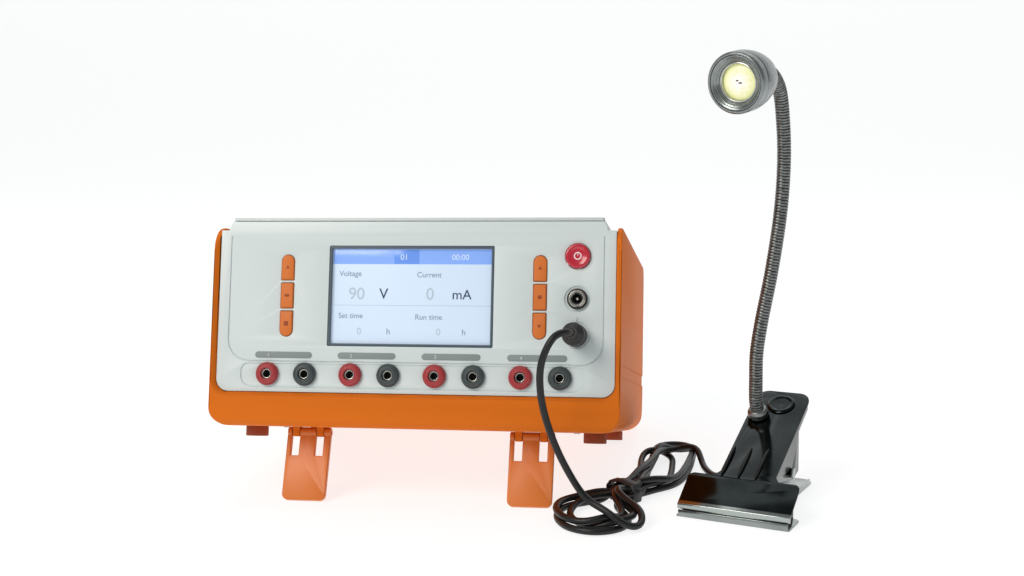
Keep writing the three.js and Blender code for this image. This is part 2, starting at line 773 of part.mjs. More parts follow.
const padUpper = polygon([
  [1.2, LIP_SPLIT + 0.5],
  [16, LIP_SPLIT + 0.5],
  [16, 16.5],
  [1.2, LIP_Z - 2],
]);
addPart(lampGroup, "clip_pad_upper", slabX(padUpper, -JAW_HALF + 3, JAW_HALF - 3), 0x101314, 0.85);
addPart(
  lampGroup,
  "clip_pad_lower",
  box(-JAW_HALF + 3, JAW_HALF - 3, 0, 16, SHEET + GAP, LIP_SPLIT),
  0x101314,
  0.85,
);

// ---------------------------------------------------------------- gooseneck
lampGroup.updateMatrixWorld(true);
const neckFoot = new THREE.Vector3(
  NECK_ON_PLATE[0],
  NECK_ON_PLATE[1],
  slopeZ(NECK_ON_PLATE[1]),
).applyMatrix4(lampGroup.matrixWorld);
const plateNormal = new THREE.Vector3(
  0,
  -Math.sin(HANDLE_SLOPE),
  Math.cos(HANDLE_SLOPE),
).transformDirection(lampGroup.matrixWorld);

const ferrule = [
  [2.6, -5.5],
  [6.2, -5.5],
  [6.2, -1.8],
  [3.0, -1.8],
  [3.0, 0.3],
  [6.6, 0.3],
  [6.6, 4],
  [5.6, 6],
  [2.6, 6],
];
addPart(benchGroup, "neck_ferrule", turnedAlong(ferrule, neckFoot, plateNormal, 20), 0xb0b5b6, 0.2, 1);

const neckCurve = new THREE.CatmullRomCurve3(
  [
    neckFoot.clone().addScaledVector(plateNormal, 7),
    neckFoot.clone().addScaledVector(plateNormal, 12),
    ...NECK_PATH.map((p) => new THREE.Vector3(...p)),
    new THREE.Vector3(...HEAD_FRONT).addScaledVector(HEAD_DIR, -(HEAD_L + 12)),
    new THREE.Vector3(...HEAD_FRONT).addScaledVector(HEAD_DIR, -(HEAD_L + 6.7)),
  ],
  false,
  "centripetal",
);
const neckLength = neckCurve.getLength();
const pieceLength = (neckLength + NECK_GAP) / NECK_PIECES;
for (let i = 0; i < NECK_PIECES; i++) {
  const t0 = (i * pieceLength) / neckLength;
  const t1 = ((i + 1) * pieceLength - NECK_GAP) / neckLength;
  addPart(benchGroup, `neck_${i + 1}`, sweep(neckCurve, t0, Math.min(t1, 1), NECK_R, 10, 8), 0x85898b, 0.25, 1);
}

// ---------------------------------------------------------------- lamp head
const headFront = new THREE.Vector3(...HEAD_FRONT);
const R = HEAD_R;
const cup = [
  [0, -HEAD_L + 3],
  [0, -HEAD_L - 4.5],
  [6.5, -HEAD_L - 4.5],
  [6.5, -HEAD_L],
  [10.5, -HEAD_L + 3],
  [14.5, -HEAD_L + 9],
  [17.2, -HEAD_L + 17],
  [R, -HEAD_L + 25],
  [R, -1],
  [R - 1, 0],
  [R - 2, 0],
  [R - 2, -13.5],
  [10, -HEAD_L + 8],
];
addPart(benchGroup, "lamp_head", turnedAlong(cup, headFront, HEAD_DIR), 0x9a9f9f, 0.3, 1);
const funnel = [
  [11.4, -8],
  [R - 2.4, -8],
  [R - 2.4, -0.6],
  [R - 3.4, -0.6],
  [11.4, -5],
];
addPart(benchGroup, "lamp_front_ring", turnedAlong(funnel, headFront, HEAD_DIR), 0xa9aeae, 0.25, 1);
const lens = [
  [0, -9],
  [11, -9],
  [11, -6.4],
  [9, -5.4],
  [5, -4.4],
  [0, -4.1],
];
addPart(benchGroup, "lamp_lens", turnedAlong(lens, headFront, HEAD_DIR), 0xf1f5c8, 0.1);
const emitter = [
  [0, -9.4],
  [3, -9.4],
  [3, -11],
  [R - 3, -11],
  [R - 3, -12.6],
  [0, -12.6],
];
addPart(benchGroup, "led_board", turnedAlong(emitter, headFront, HEAD_DIR), 0xe9e4b8, 0.5);

// ---------------------------------------------------------------- lead, hank and plug
const plugProfile = [
  [1.3, 7],
  [1.3, -3.4],
  [0, -3.4],
  [0, -38],
  [2.6, -38],
  [3.4, -27],
  [5.2, -25.5],
  [7.2, -23],
  [7.3, -6],
  [6.4, -3.1],
  [2.8, -3.1],
  [2.8, 7],
];
addPart(caseGroup, "lamp_plug", turnedY(plugProfile, CONTROL_X, JACK_ROWS[1]), 0x15181a, 0.55);

caseGroup.updateMatrixWorld(true);
const plugEnd = new THREE.Vector3(CONTROL_X, -38 - GAP, JACK_ROWS[1]).applyMatrix4(caseGroup.matrixWorld);
const plugOut = new THREE.Vector3(0, -1, 0).transformDirection(caseGroup.matrixWorld);
const LEAD_PATH = [
  [100, -37, 123],
  [93.5, -40, 115],
  [89.5, -40, 101],
  [88.6, -38, 88],
  [90.4, -34, 73],
  [96.8, -30, 51],
  [105.9, -26, 31],
  [113, -23, 18],
];
const leadCurve = new THREE.CatmullRomCurve3(
  [plugEnd, plugEnd.clone().addScaledVector(plugOut, 4), ...LEAD_PATH.map((p) => new THREE.Vector3(...p))],
  false,
  "centripetal",
);
addPart(benchGroup, "lead_to_plug", sweep(leadCurve, 0, 1, CORD_R, 8, 20), 0x17191a, 0.6);

// The coiled spare length is one flat body, narrow where the tie holds it.
const [hankFront, hankBack] = HANK_ENDS.map(([x, y]) => new THREE.Vector2(x, y));
const hankLength = hankFront.distanceTo(hankBack);
function hank() {
  const length = hankLength;
  const waist = HANK_WAIST;
  const narrow = HANK_HALF - 4;
  const s = new THREE.Shape();
  s.absarc(0, 0, HANK_HALF, Math.PI / 2, 1.5 * Math.PI, false);
  s.bezierCurveTo(20, -HANK_HALF, 25, -waist, length * WAIST_AT, -waist);
  s.bezierCurveTo(length * 0.7, -waist, length * 0.8, -narrow, length, -narrow);
  s.absarc(length, 0, narrow, -Math.PI / 2, Math.PI / 2, false);
  s.bezierCurveTo(length * 0.8, narrow, length * 0.7, waist, length * WAIST_AT, waist);
  s.bezierCurveTo(25, waist, 20, HANK_HALF, 0, HANK_HALF);
  return slabZ(s, HANK_Z0, HANK_Z1, 8);
}
const hankGroup = new THREE.Group();
hankGroup.position.set(hankFront.x, hankFront.y, 0);
hankGroup.rotation.z = hankBack.clone().sub(hankFront).angle();
benchGroup.add(hankGroup);
addPart(hankGroup, "lead_hank", hank(), 0x141617, 0.6);

function leadTie() {
  const at = hankLength * WAIST_AT;
  const inner = HANK_WAIST + 1.2;
  const band = box(at - 4, at + 4, -inner - 1.8, inner + 1.8, HANK_Z0 - 1.9, HANK_Z1 + 2.2);
  return cut(band, box(at - 6, at + 6, -inner, inner, HANK_Z0 - GAP, HANK_Z1 + GAP));
}
addPart(hankGroup, "lead_tie", leadTie(), 0x101213, 0.6);

const neckInlet = neckFoot.clone().addScaledVector(plateNormal, -5.9);
const LAMP_LEAD_PATH = [
  [180, 131, 16],
  [187, 106, 13],
  [193, 86, 11],
  [203, 74, 13],
  [214, 70.5, 25],
];
const lampLeadCurve = new THREE.CatmullRomCurve3(
  [
    new THREE.Vector3(172, 150, 15.6),
    ...LAMP_LEAD_PATH.map((p) => new THREE.Vector3(...p)),
    neckInlet.clone().addScaledVector(plateNormal, -6),
    neckInlet,
  ],
  false,
  "centripetal",
);
addPart(benchGroup, "lead_to_lamp", sweep(lampLeadCurve, 0, 1, CORD_R, 8, 16), 0x17191a, 0.6);

// ---------------------------------------------------------------- origin
// The origin is the bottom centre of everything but the free lead.
const LEAD_PARTS = ["lamp_plug", "lead_to_plug", "lead_hank", "lead_tie", "lead_to_lamp"];
root.updateMatrixWorld(true);
const bounds = new THREE.Box3();
root.traverse((part) => {
  if (part.isMesh && !LEAD_PARTS.includes(part.name)) bounds.expandByObject(part, true);
});
const centre = bounds.getCenter(new THREE.Vector3());
root.position.set(-centre.x, -centre.y, -bounds.min.z);

export default root;
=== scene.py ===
import math

import bmesh
import bpy
import numpy as np
from mathutils import Matrix, Vector


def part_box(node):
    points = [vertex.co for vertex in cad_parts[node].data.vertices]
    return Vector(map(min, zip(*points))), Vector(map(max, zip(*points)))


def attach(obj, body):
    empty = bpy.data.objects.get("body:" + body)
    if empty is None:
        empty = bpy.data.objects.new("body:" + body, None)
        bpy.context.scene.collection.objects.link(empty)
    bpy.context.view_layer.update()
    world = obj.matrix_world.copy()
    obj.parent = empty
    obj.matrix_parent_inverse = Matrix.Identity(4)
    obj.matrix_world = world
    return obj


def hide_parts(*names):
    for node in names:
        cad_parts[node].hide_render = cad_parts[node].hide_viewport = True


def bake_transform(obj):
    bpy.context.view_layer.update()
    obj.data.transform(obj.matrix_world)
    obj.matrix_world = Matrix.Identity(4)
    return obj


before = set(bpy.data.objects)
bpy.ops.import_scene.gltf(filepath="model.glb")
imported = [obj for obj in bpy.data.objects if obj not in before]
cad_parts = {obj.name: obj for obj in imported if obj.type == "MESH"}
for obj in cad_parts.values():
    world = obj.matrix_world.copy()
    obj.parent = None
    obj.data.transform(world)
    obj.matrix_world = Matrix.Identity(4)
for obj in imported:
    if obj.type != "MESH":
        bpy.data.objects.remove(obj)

MM = 0.001
scene = bpy.context.scene
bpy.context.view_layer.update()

# ---------------------------------------------------------------- camera, bench and light
# A plain studio: a pale bench sweep, a large soft key light from the left and a weak fill.
# The camera stands a little above the instrument and looks across it towards the lamp.
FOCAL_MM = 47.74
CAMERA_AT = (0.1330, -0.9395, 0.2620)
CAMERA_TURN, CAMERA_DROP, CAMERA_ROLL = 8.82, 8.18, -0.9


def colour(code):
    """An sRGB hex colour as linear RGBA."""
    parts = [int(code[i : i + 2], 16) / 255 for i in (1, 3, 5)]
    linear = [c / 12.92 if c <= 0.04045 else ((c + 0.055) / 1.055) ** 2.4 for c in parts]
    return (*linear, 1.0)


def add(tree, kind, inputs=None, **settings):
    """Adds a node; an input is a value, or another node's output to link."""
    made = tree.nodes.new(kind)
    for name, value in settings.items():
        setattr(made, name, value)
    for key, value in (inputs or {}).items():
        if isinstance(value, bpy.types.NodeSocket):
            tree.links.new(value, made.inputs[key])
        else:
            made.inputs[key].default_value = value
    return made


def new_material(name, **constants):
    """A material with a Principled shader; returns it with its tree and shader."""
    made = bpy.data.materials.new(name)
    made.use_nodes = True
    tree = made.node_tree
    tree.nodes.clear()
    values = {key.replace("_", " "): value for key, value in constants.items()}
    shader = add(tree, "ShaderNodeBsdfPrincipled", values)
    add(tree, "ShaderNodeOutputMaterial", {"Surface": shader.outputs[0]})
    return made, tree, shader


camera = bpy.data.objects.new("camera", bpy.data.cameras.new("camera"))
camera.data.lens = FOCAL_MM
camera.data.sensor_width = 36
scene.collection.objects.link(camera)
scene.camera = camera
camera.matrix_world = (
    Matrix.Translation(CAMERA_AT)
    @ Matrix.Rotation(math.radians(CAMERA_TURN), 4, "Z")
    @ Matrix.Rotation(math.radians(90 - CAMERA_DROP), 4, "X")
    @ Matrix.Rotation(math.radians(CAMERA_ROLL), 4, "Z")
)

sweep_mesh = bpy.data.meshes.new("bench_sweep")
BACK_START, BACK_RADIUS, BENCH_HALF, BENCH_FRONT, BACK_HEIGHT = 2.0, 0.8, 5.0, -4.0, 4.0
back_arc = [
    (BACK_START + BACK_RADIUS * math.sin(a), BACK_RADIUS * (1 - math.cos(a)))
    for a in np.linspace(0, math.pi / 2, 16)
]
bench_line = [(BENCH_FRONT, 0.0), *back_arc, (BACK_START + BACK_RADIUS, BACK_HEIGHT)]
sweep_points = [(x, y, z) for y, z in bench_line for x in (-BENCH_HALF, BENCH_HALF)]
sweep_faces = [(2 * i, 2 * i + 1, 2 * i + 3, 2 * i + 2) for i in range(len(bench_line) - 1)]
sweep_mesh.from_pydata(sweep_points, [], sweep_faces)
sweep_mesh.shade_smooth()
bench = bpy.data.objects.new("bench_sweep", sweep_mesh)
scene.collection.objects.link(bench)
# Seamless paper: matt, pale and even, lifted a little so that it stays white at the back.
bench_paper, _, _ = new_material(
    "seamless_paper", Base_Color=colour("#8e9193"), Roughness=0.9,
    Emission_Color=colour("#ffffff"), Emission_Strength=0.8,
)
sweep_mesh.materials.append(bench_paper)


def soft_light(name, place, aim, size, power, tint):
    light = bpy.data.objects.new(name, bpy.data.lights.new(name, "AREA"))
    light.data.size = size
    light.data.energy = power
    light.data.color = colour(tint)[:3]
    light.location = place
    light.rotation_euler = (Vector(aim) - Vector(place)).to_track_quat("-Z", "Y").to_euler()
    scene.collection.objects.link(light)


soft_light("key_light", (-1.1, -1.5, 1.5), (0, 0, 0.1), 1.2, 29, "#fffaf2")
soft_light("fill_light", (1.6, -1.2, 0.9), (0, 0, 0.1), 1.4, 0.3, "#f2f6ff")
soft_light("top_light", (0.0, 0.5, 1.9), (0, 0.1, 0), 1.6, 8, "#ffffff")
scene.world = bpy.data.worlds.new("studio")
scene.world.use_nodes = True
scene.world.node_tree.nodes.clear()
studio = add(scene.world.node_tree, "ShaderNodeBackground", {0: colour("#f2f4f5"), 1: 0.26})
add(scene.world.node_tree, "ShaderNodeOutputWorld", {0: studio.outputs[0]})
scene.view_settings.view_transform = "Standard"

# ---------------------------------------------------------------- the two standing frames
# The case leans back on its legs about the leg pins; the lamp's clip is turned on the bench.
# The case's pieces and the clip's pieces have their sizes in millimetres in these two frames.
CASE_TILT = math.radians(13.6)
LEG_PIN_AT = Vector((-74.4, 31, -3.7))
CLIP_YAW = math.radians(-20)
CLIP_PIN_AT = Vector((1, 56, 19.5))


def middle(node):
    low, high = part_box(node)
    return (low + high) / 2


case_place = (
    Matrix.Translation(middle("leg_pin_left"))
    @ Matrix.Rotation(-CASE_TILT, 4, "X")
    @ Matrix.Scale(MM, 4)
    @ Matrix.Translation(-LEG_PIN_AT)
)
clip_place = (
    Matrix.Translation(middle("clip_pin"))
    @ Matrix.Rotation(CLIP_YAW, 4, "Z")
    @ Matrix.Scale(MM, 4)
    @ Matrix.Translation(-CLIP_PIN_AT)
)

# ---------------------------------------------------------------- case moulding
# The base is one injection-moulded ABS tub in orange, with a thick front rim round the panel.
# Its edges are softened as a mould leaves them, and a shallow band runs down each side.
MERGE_WITHIN = 2e-6


def soften(mesh, angle=33):
    """Merges doubled points and shades the mesh smooth between its real edges."""
    work = bmesh.new()
    work.from_mesh(mesh)
    bmesh.ops.remove_doubles(work, verts=work.verts, dist=MERGE_WITHIN)
    bmesh.ops.recalc_face_normals(work, faces=work.faces)
    work.to_mesh(mesh)
    work.free()
    mesh.shade_smooth()
    mesh.set_sharp_from_angle(angle=math.radians(angle))
    return mesh


def piece(name, mesh, material, body, stands_for=()):
    """Links a finished mesh, which already lies in the row frame, and rides it on a body."""
    mesh.name = name
    mesh.materials.clear()
    mesh.materials.append(material)
    made = bpy.data.objects.new(name, mesh)
    scene.collection.objects.link(made)
    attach(made, body)
    if stands_for:
        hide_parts(*stands_for)
    return made


def evaluated_mesh(work):
    """A plain mesh of a working object with its modifiers, curve or text applied."""
    graph = bpy.context.evaluated_depsgraph_get()
    return bpy.data.meshes.new_from_object(work.evaluated_get(graph), depsgraph=graph)


def working(data):
    """A temporary object that holds a mesh or a curve."""
    made = bpy.data.objects.new("work", data)
    scene.collection.objects.link(made)
    return made


def plain_mesh(work):
    """The evaluated mesh of a working object, which is then removed."""
    mesh = evaluated_mesh(work)
    bpy.data.objects.remove(work)
    return mesh


def dressed(node, edge=0.4, angle=33):
    """A copy of a CAD node's mesh with its flats merged and its edges rounded by edge mm."""
    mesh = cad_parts[node].data.copy()
    work = bmesh.new()
    work.from_mesh(mesh)
    bmesh.ops.remove_doubles(work, verts=work.verts, dist=MERGE_WITHIN)
    bmesh.ops.join_triangles(
        work, faces=work.faces, angle_face_threshold=0.02, angle_shape_threshold=3.1
    )
    work.to_mesh(mesh)
    work.free()
    made = working(mesh)
    bevel = made.modifiers.new("edge", "BEVEL")
    bevel.width = edge * MM
    bevel.segments = 2
    bevel.limit_method = "ANGLE"
    bevel.angle_limit = math.radians(angle)
    bevel.use_clamp_overlap = False
    return soften(plain_mesh(made), 40)


def grained(name, base, dark, grain_mm, bump_mm, roughness, amount=0.35, **constants):
    """A moulded or coated surface: fine grain, slow colour drift and uneven gloss.
    Noise scales are waves in a metre: the drift's 22 is a patch about 45 mm across."""
    made, tree, shader = new_material(name, **constants)
    place = add(tree, "ShaderNodeTexCoord").outputs["Object"]
    grain = add(
        tree, "ShaderNodeTexNoise", {"Vector": place, "Scale": 1 / (grain_mm * MM), "Detail": 4.0}
    )
    drift = add(tree, "ShaderNodeTexNoise", {"Vector": place, "Scale": 22.0, "Detail": 3.0})
    share = add(
        tree, "ShaderNodeMath", {0: drift.outputs["Fac"], 1: amount}, operation="MULTIPLY"
    )
    mixed = add(
        tree,
        "ShaderNodeMix",
        {"Factor": share.outputs[0], "A": colour(base), "B": colour(dark)},
        data_type="RGBA",
    )
    gloss = add(
        tree,
        "ShaderNodeMapRange",
        {"Value": grain.outputs["Fac"], "To Min": roughness - 0.06, "To Max": roughness + 0.06},
    )
    bump = add(
        tree,
        "ShaderNodeBump",
        {"Height": grain.outputs["Fac"], "Strength": 0.5, "Distance": bump_mm * MM},
    )
    tree.links.new(mixed.outputs["Result"], shader.inputs["Base Color"])
    tree.links.new(gloss.outputs[0], shader.inputs["Roughness"])
    tree.links.new(bump.outputs[0], shader.inputs["Normal"])
    return made


# Moulded ABS: an even satin skin with a spark-eroded grain, slightly deeper where it is thick.
case_abs = grained(
    "moulded_abs_orange", "#dd7322", "#c96118", 1.1, 0.05, 0.5, 0.3, IOR=1.54,
    Specular_IOR_Level=0.03,
)
piece(
    "case_tub", dressed("case_shell", 0.7), case_abs, "base", ["case_shell"]
)

# ---------------------------------------------------------------- inside the case
# A main board with its parts, a mains transformer, a front board and a cooling fan.
# Solder mask is a glossy green with faint copper lines under it; iron and polyamide elsewhere.


def circuit(name):
    """Glass-epoxy board: green mask over a grid of copper tracks."""
    made, tree, shader = new_material(name, Roughness=0.3, IOR=1.5)
    place = add(tree, "ShaderNodeTexCoord").outputs["Object"]
    tracks = add(
        tree, "ShaderNodeTexBrick",
        {
            "Vector": place, "Color1": colour("#1c5a38"), "Color2": colour("#237046"),
            "Mortar": colour("#4d8a4e"), "Scale": 60.0, "Mortar Size": 0.03,
        },
    )
    bump = add(
        tree, "ShaderNodeBump",
        {"Height": tracks.outputs["Fac"], "Strength": 0.3, "Distance": 0.03 * MM},
    )
    tree.links.new(tracks.outputs["Color"], shader.inputs["Base Color"])
    tree.links.new(bump.outputs[0], shader.inputs["Normal"])
    return made


# Solder mask: a glossy green film with paler tracks showing through it.
board_green = circuit("glass_epoxy_green")
# Laminated core: dull grey-brown iron, streaked by varnish between its sheets.
core_iron = grained("laminated_iron", "#5a5752", "#3d3a36", 0.7, 0.05, 0.5, 0.7, Metallic=0.6)
# Moulded polyamide: near black with a fine even satin.
inlet_pa = grained("moulded_polyamide_black", "#191b1c", "#101112", 0.8, 0.04, 0.5, IOR=1.53)
for node, ink, name in [
    ("main_board", board_green, "circuit_board"),
    ("front_board", board_green, "circuit_board"),
    ("transformer", core_iron, "transformer_iron"),
    ("cooling_fan", inlet_pa, "black_plastic"),
    ("power_switch", inlet_pa, "black_plastic"),
]:
    piece(f"{node}_unit", dressed(node, 0.15), ink, "base", [node])

# ---------------------------------------------------------------- front panel
# A folded steel panel in pale grey enamel. The upper field is outlined by a fine groove,
# and the output sockets stand in a shallow strip along the bottom.


def in_case(node):
    """The middle of a CAD node, in millimetres in the case's frame."""
    return case_place.inverted() @ middle(node)


def plate(loops, y0, y1, place, edge=0.3):
    """A flat plate with rounded edges, between y0 and y1 in mm; each loop lists (x, z)."""
    curve = bpy.data.curves.new("work", "CURVE")
    curve.dimensions = "2D"
    curve.fill_mode = "BOTH"
    edge = min(edge, 0.48 * (y1 - y0))
    curve.extrude = (y1 - y0) / 2 - edge
    curve.bevel_depth = edge
    curve.bevel_resolution = 2
    curve.offset = -edge
    for loop in loops:
        spline = curve.splines.new("POLY")
        spline.points.add(len(loop) - 1)
        for point, (x, z) in zip(spline.points, loop):
            point.co = (x, z, 0, 1)
        spline.use_cyclic_u = True
    mesh = plain_mesh(working(curve))
    upright = Matrix(((1, 0, 0, 0), (0, 0, -1, (y0 + y1) / 2), (0, 1, 0, 0), (0, 0, 0, 1)))
    mesh.transform(place @ upright)
    return soften(mesh)


def rectangle(x0, z0, x1, z1, radius=0.0, steps=6):
    """A rectangle as a loop of points; radius may list four corners, from the bottom left."""
    radii = radius if isinstance(radius, (list, tuple)) else [radius] * 4
    corners = [(x0, z0, 1, 1, 180), (x1, z0, -1, 1, 270), (x1, z1, -1, -1, 0), (x0, z1, 1, -1, 90)]
    loop = []
    for (x, z, sx, sz, start), r in zip(corners, radii):
        if r < 1e-6:
            loop.append((x, z))
            continue
        for k in range(steps + 1):
            a = math.radians(start + 90 * k / steps)
            loop.append((x + sx * r + r * math.cos(a), z + sz * r + r * math.sin(a)))
    return loop


def circle(x, z, r, steps=48):
    angles = [2 * math.pi * k / steps for k in range(steps)]
    return [(x + r * math.cos(a), z + r * math.sin(a)) for a in angles]


# Baked enamel: pale, cool and even, with a faint orange-peel ripple in its gloss.
panel_enamel = grained(
    "baked_enamel_pale_grey", "#d6e0e0", "#ccd8d9", 2.2, 0.03, 0.34, 0.4, IOR=1.5
)
HALF_PANEL, PANEL_LOW, PANEL_TOP, HOOD_TOP = 129.3, 22.3, 127, 132.7
PANEL_FACE, PANEL_BACK = 0.7, 3
BUTTON_HOLE_R, NUT_RECESS_R, JACK_HOLE_R, SOCKET_HOLE_R = 8.3, 8.2, 5.9, 6.4
KEY_GAP = 0.35
STRIP, STRIP_CORNERS = (-113, 25, 111, 40.6), [8, 8, 5, 5]
SCREEN = (-56, 52.1, 52, 117.1)
KEY_ROWS = [102.7, 84.5, 66.3]
KEY_COLUMNS = {"left": -83.4, "right": 81.5}
KEY_W, KEY_H = 8.2, 16.2
SOCKET_NODES = [f"socket_{side}_{i}" for i in range(1, 5) for side in ("red", "black")]
JACKS = ("upper", "lower")
GROOVE_OUTER = (122.4, 41.4, 15.0)
GROOVE_INNER = (121.5, 42.3, 14.1)
GROOVE_TOP = 123.0
button_at = in_case("power_button")


def key_outline(x, z, row, grow):
    """Top and bottom keys of a column have one round end."""
    w, h = KEY_W / 2 + grow, KEY_H / 2 + grow
    r = w - 0.05
    radii = {0: [0.5, 0.5, r, r], 1: [0.5] * 4, 2: [r, r, 0.5, 0.5]}[row]
    return rectangle(x - w, z - h, x + w, z + h, radii, 12)


def groove_line():
    """A narrow U round the upper field, as one closed loop."""
    loop = []
    for half, low, r in [GROOVE_OUTER, GROOVE_INNER]:
        left = [(-half, GROOVE_TOP)]
        for k in range(9):
            a = math.radians(180 + 90 * k / 8)
            left.append((-half + r + r * math.cos(a), low + r + r * math.sin(a)))
        side = left + [(-x, z) for x, z in reversed(left)]
        loop += side[::-1] if loop else side
    return loop


low_edge = rectangle(-HALF_PANEL, PANEL_LOW, HALF_PANEL, PANEL_TOP, [8, 8, 0, 0], 10)
hood = [(124, PANEL_TOP), (121.9, HOOD_TOP), (-121.9, HOOD_TOP), (-124, PANEL_TOP)]
panel_outline = [*low_edge[:-1], *hood, low_edge[-1]]
key_holes = [
    key_outline(x, z, row, KEY_GAP)
    for x in KEY_COLUMNS.values()
    for row, z in enumerate(KEY_ROWS)
]
button_hole = circle(button_at.x, button_at.z, BUTTON_HOLE_R)
shared_holes = [rectangle(*SCREEN, 1), button_hole, *key_holes]
jack_at = [in_case(f"jack_{which}") for which in JACKS]
socket_at = [in_case(node) for node in SOCKET_NODES]
face_loops = [
    panel_outline,
    *shared_holes,
    *[circle(p.x, p.z, NUT_RECESS_R) for p in jack_at],
    groove_line(),
    rectangle(*STRIP, STRIP_CORNERS),
]
back_loops = [
    panel_outline,
    *shared_holes,
    *[circle(p.x, p.z, JACK_HOLE_R) for p in jack_at],
    *[circle(p.x, p.z, SOCKET_HOLE_R) for p in socket_at],
]
piece(
    "panel_face", plate(face_loops, 0, PANEL_FACE + 0.02, case_place, 0.22), panel_enamel,
    "base", ["front_panel"],
)
piece(
    "panel_back", plate(back_loops, PANEL_FACE, PANEL_BACK, case_place, 0.1), panel_enamel,
    "base",
)

# Printed bars over each pair of sockets, screen-printed in grey with a pale channel number.
print_grey = grained("screen_print_grey", "#879291", "#7c8786", 0.6, 0.01, 0.55)
print_pale = grained("screen_print_pale", "#d8dedd", "#cdd4d3", 0.6, 0.01, 0.55)


def lettering(name, text, x, z, high, y, ink, thick=0.06, centred=False):
    """Raised print: a line of text as a thin mesh, its cap height in mm."""
    curve = bpy.data.curves.new("work", "FONT")
    curve.body = text
    curve.size = high / 0.7
    curve.extrude = thick / 2
    curve.align_x = "CENTER" if centred else "LEFT"
    mesh = plain_mesh(working(curve))
    stand = Matrix(((1, 0, 0, x), (0, 0, -1, y), (0, 1, 0, z), (0, 0, 0, 1)))
    mesh.transform(case_place @ stand)
    return piece(name, soften(mesh), ink, "base")


BAR_LOW, BAR_HIGH, BAR_HALF, BAR_SHIFT = 43.9, 48.1, 19, 2
for channel in range(4):
    pair = socket_at[2 * channel : 2 * channel + 2]
    bar_middle = (pair[0].x + pair[1].x) / 2 - BAR_SHIFT
    ends = (bar_middle - BAR_HALF, BAR_LOW, bar_middle + BAR_HALF, BAR_HIGH)
    loop = rectangle(*ends, 2.05, 8)
    bar = plate([loop], -0.12, 0.05, case_place, 0.03)
    piece(f"channel_bar_{channel + 1}", bar, print_grey, "base")
    lettering(
        f"channel_number_{channel + 1}", str(channel + 1), bar_middle - 11, 44.9, 2.2, -0.16,
        print_pale,
    )
lettering("jack_number", "2", button_at.x, 69.6, 2.2, -0.03, print_grey, 0.08, True)

# ---------------------------------------------------------------- display
# A backlit colour display behind a dark frame: a blue header, two readings and two timers.
# The glass shines softly, so its picture parts glow and keep their colour in shadow.


def glowing(name, base, strength, roughness=0.15):
    """A lit part of the display: its own colour, with a fine dot structure."""
    made, tree, shader = new_material(
        name, Roughness=roughness, Emission_Strength=strength, IOR=1.5
    )
    place = add(tree, "ShaderNodeTexCoord").outputs["Object"]
    dots = add(tree, "ShaderNodeTexNoise", {"Vector": place, "Scale": 1400.0, "Detail": 1.0})
    wash = add(tree, "ShaderNodeTexNoise", {"Vector": place, "Scale": 14.0, "Detail": 1.0})
    blend = add(
        tree, "ShaderNodeMath", {0: dots.outputs["Fac"], 1: wash.outputs["Fac"]},
        operation="MULTIPLY",
    )
    dim = tuple(0.9 * c for c in colour(base)[:3]) + (1.0,)
    mixed = add(
        tree,
        "ShaderNodeMix",
        {"Factor": blend.outputs[0], "A": colour(base), "B": dim},
        data_type="RGBA",
    )
    tree.links.new(mixed.outputs["Result"], shader.inputs["Base Color"])
    tree.links.new(mixed.outputs["Result"], shader.inputs["Emission Color"])
    return made


lcd_white = glowing("lcd_backlit_white", "#c9daee", 0.3)
lcd_blue = glowing("lcd_header_blue", "#84a8ee", 0.3)
lcd_tab = glowing("lcd_tab_blue", "#6a94e6", 0.25)
lcd_ink = glowing("lcd_ink_dark", "#3c4a66", 0.1)
lcd_faint = glowing("lcd_ink_faint", "#b0bfca", 0.25)
lcd_mid = glowing("lcd_ink_mid", "#8794a8", 0.2)
# Moulded ABS: a slate frame with an even satin that stays dark beside the lit picture.
frame_plastic = grained("moulded_abs_slate", "#4a5a66", "#3c4a55", 0.8, 0.03, 0.45, IOR=1.54)

FIT_GAP, FRAME_EDGE = 0.3, 1.9
x0, z0, x1, z1 = SCREEN
outside = (x0 + FIT_GAP, z0 + FIT_GAP, x1 - FIT_GAP, z1 - FIT_GAP)
window = rectangle(x0 + FRAME_EDGE, z0 + FRAME_EDGE, x1 - FRAME_EDGE, z1 - FRAME_EDGE, 0.6)
piece(
    "display_frame", plate([rectangle(*outside, 1), window], 0.6, 2.5, case_place),
    frame_plastic, "base", ["screen_bezel"],
)
glass = plate([rectangle(*outside, 0.8)], 2.7, 8, case_place, 0.2)
piece("display_glass", glass, lcd_white, "base", ["display_module"])
PICTURE_Y = 2.62
for name, area, ink in [
    ("header", (x0 + 2.1, 105.4, x1 - 2.1, 115.0), lcd_blue),
    ("header_tab", (-13.6, 105.6, 2.8, 114.8), lcd_tab),
    ("divider", (-54, 78.6, 50, 78.9), lcd_faint),
]:
    depth = PICTURE_Y - (0.04 if name == "header_tab" else 0)
    flat = plate([rectangle(*area)], depth, depth + 0.05, case_place, 0.01)
    piece(f"display_{name}", flat, ink, "base")
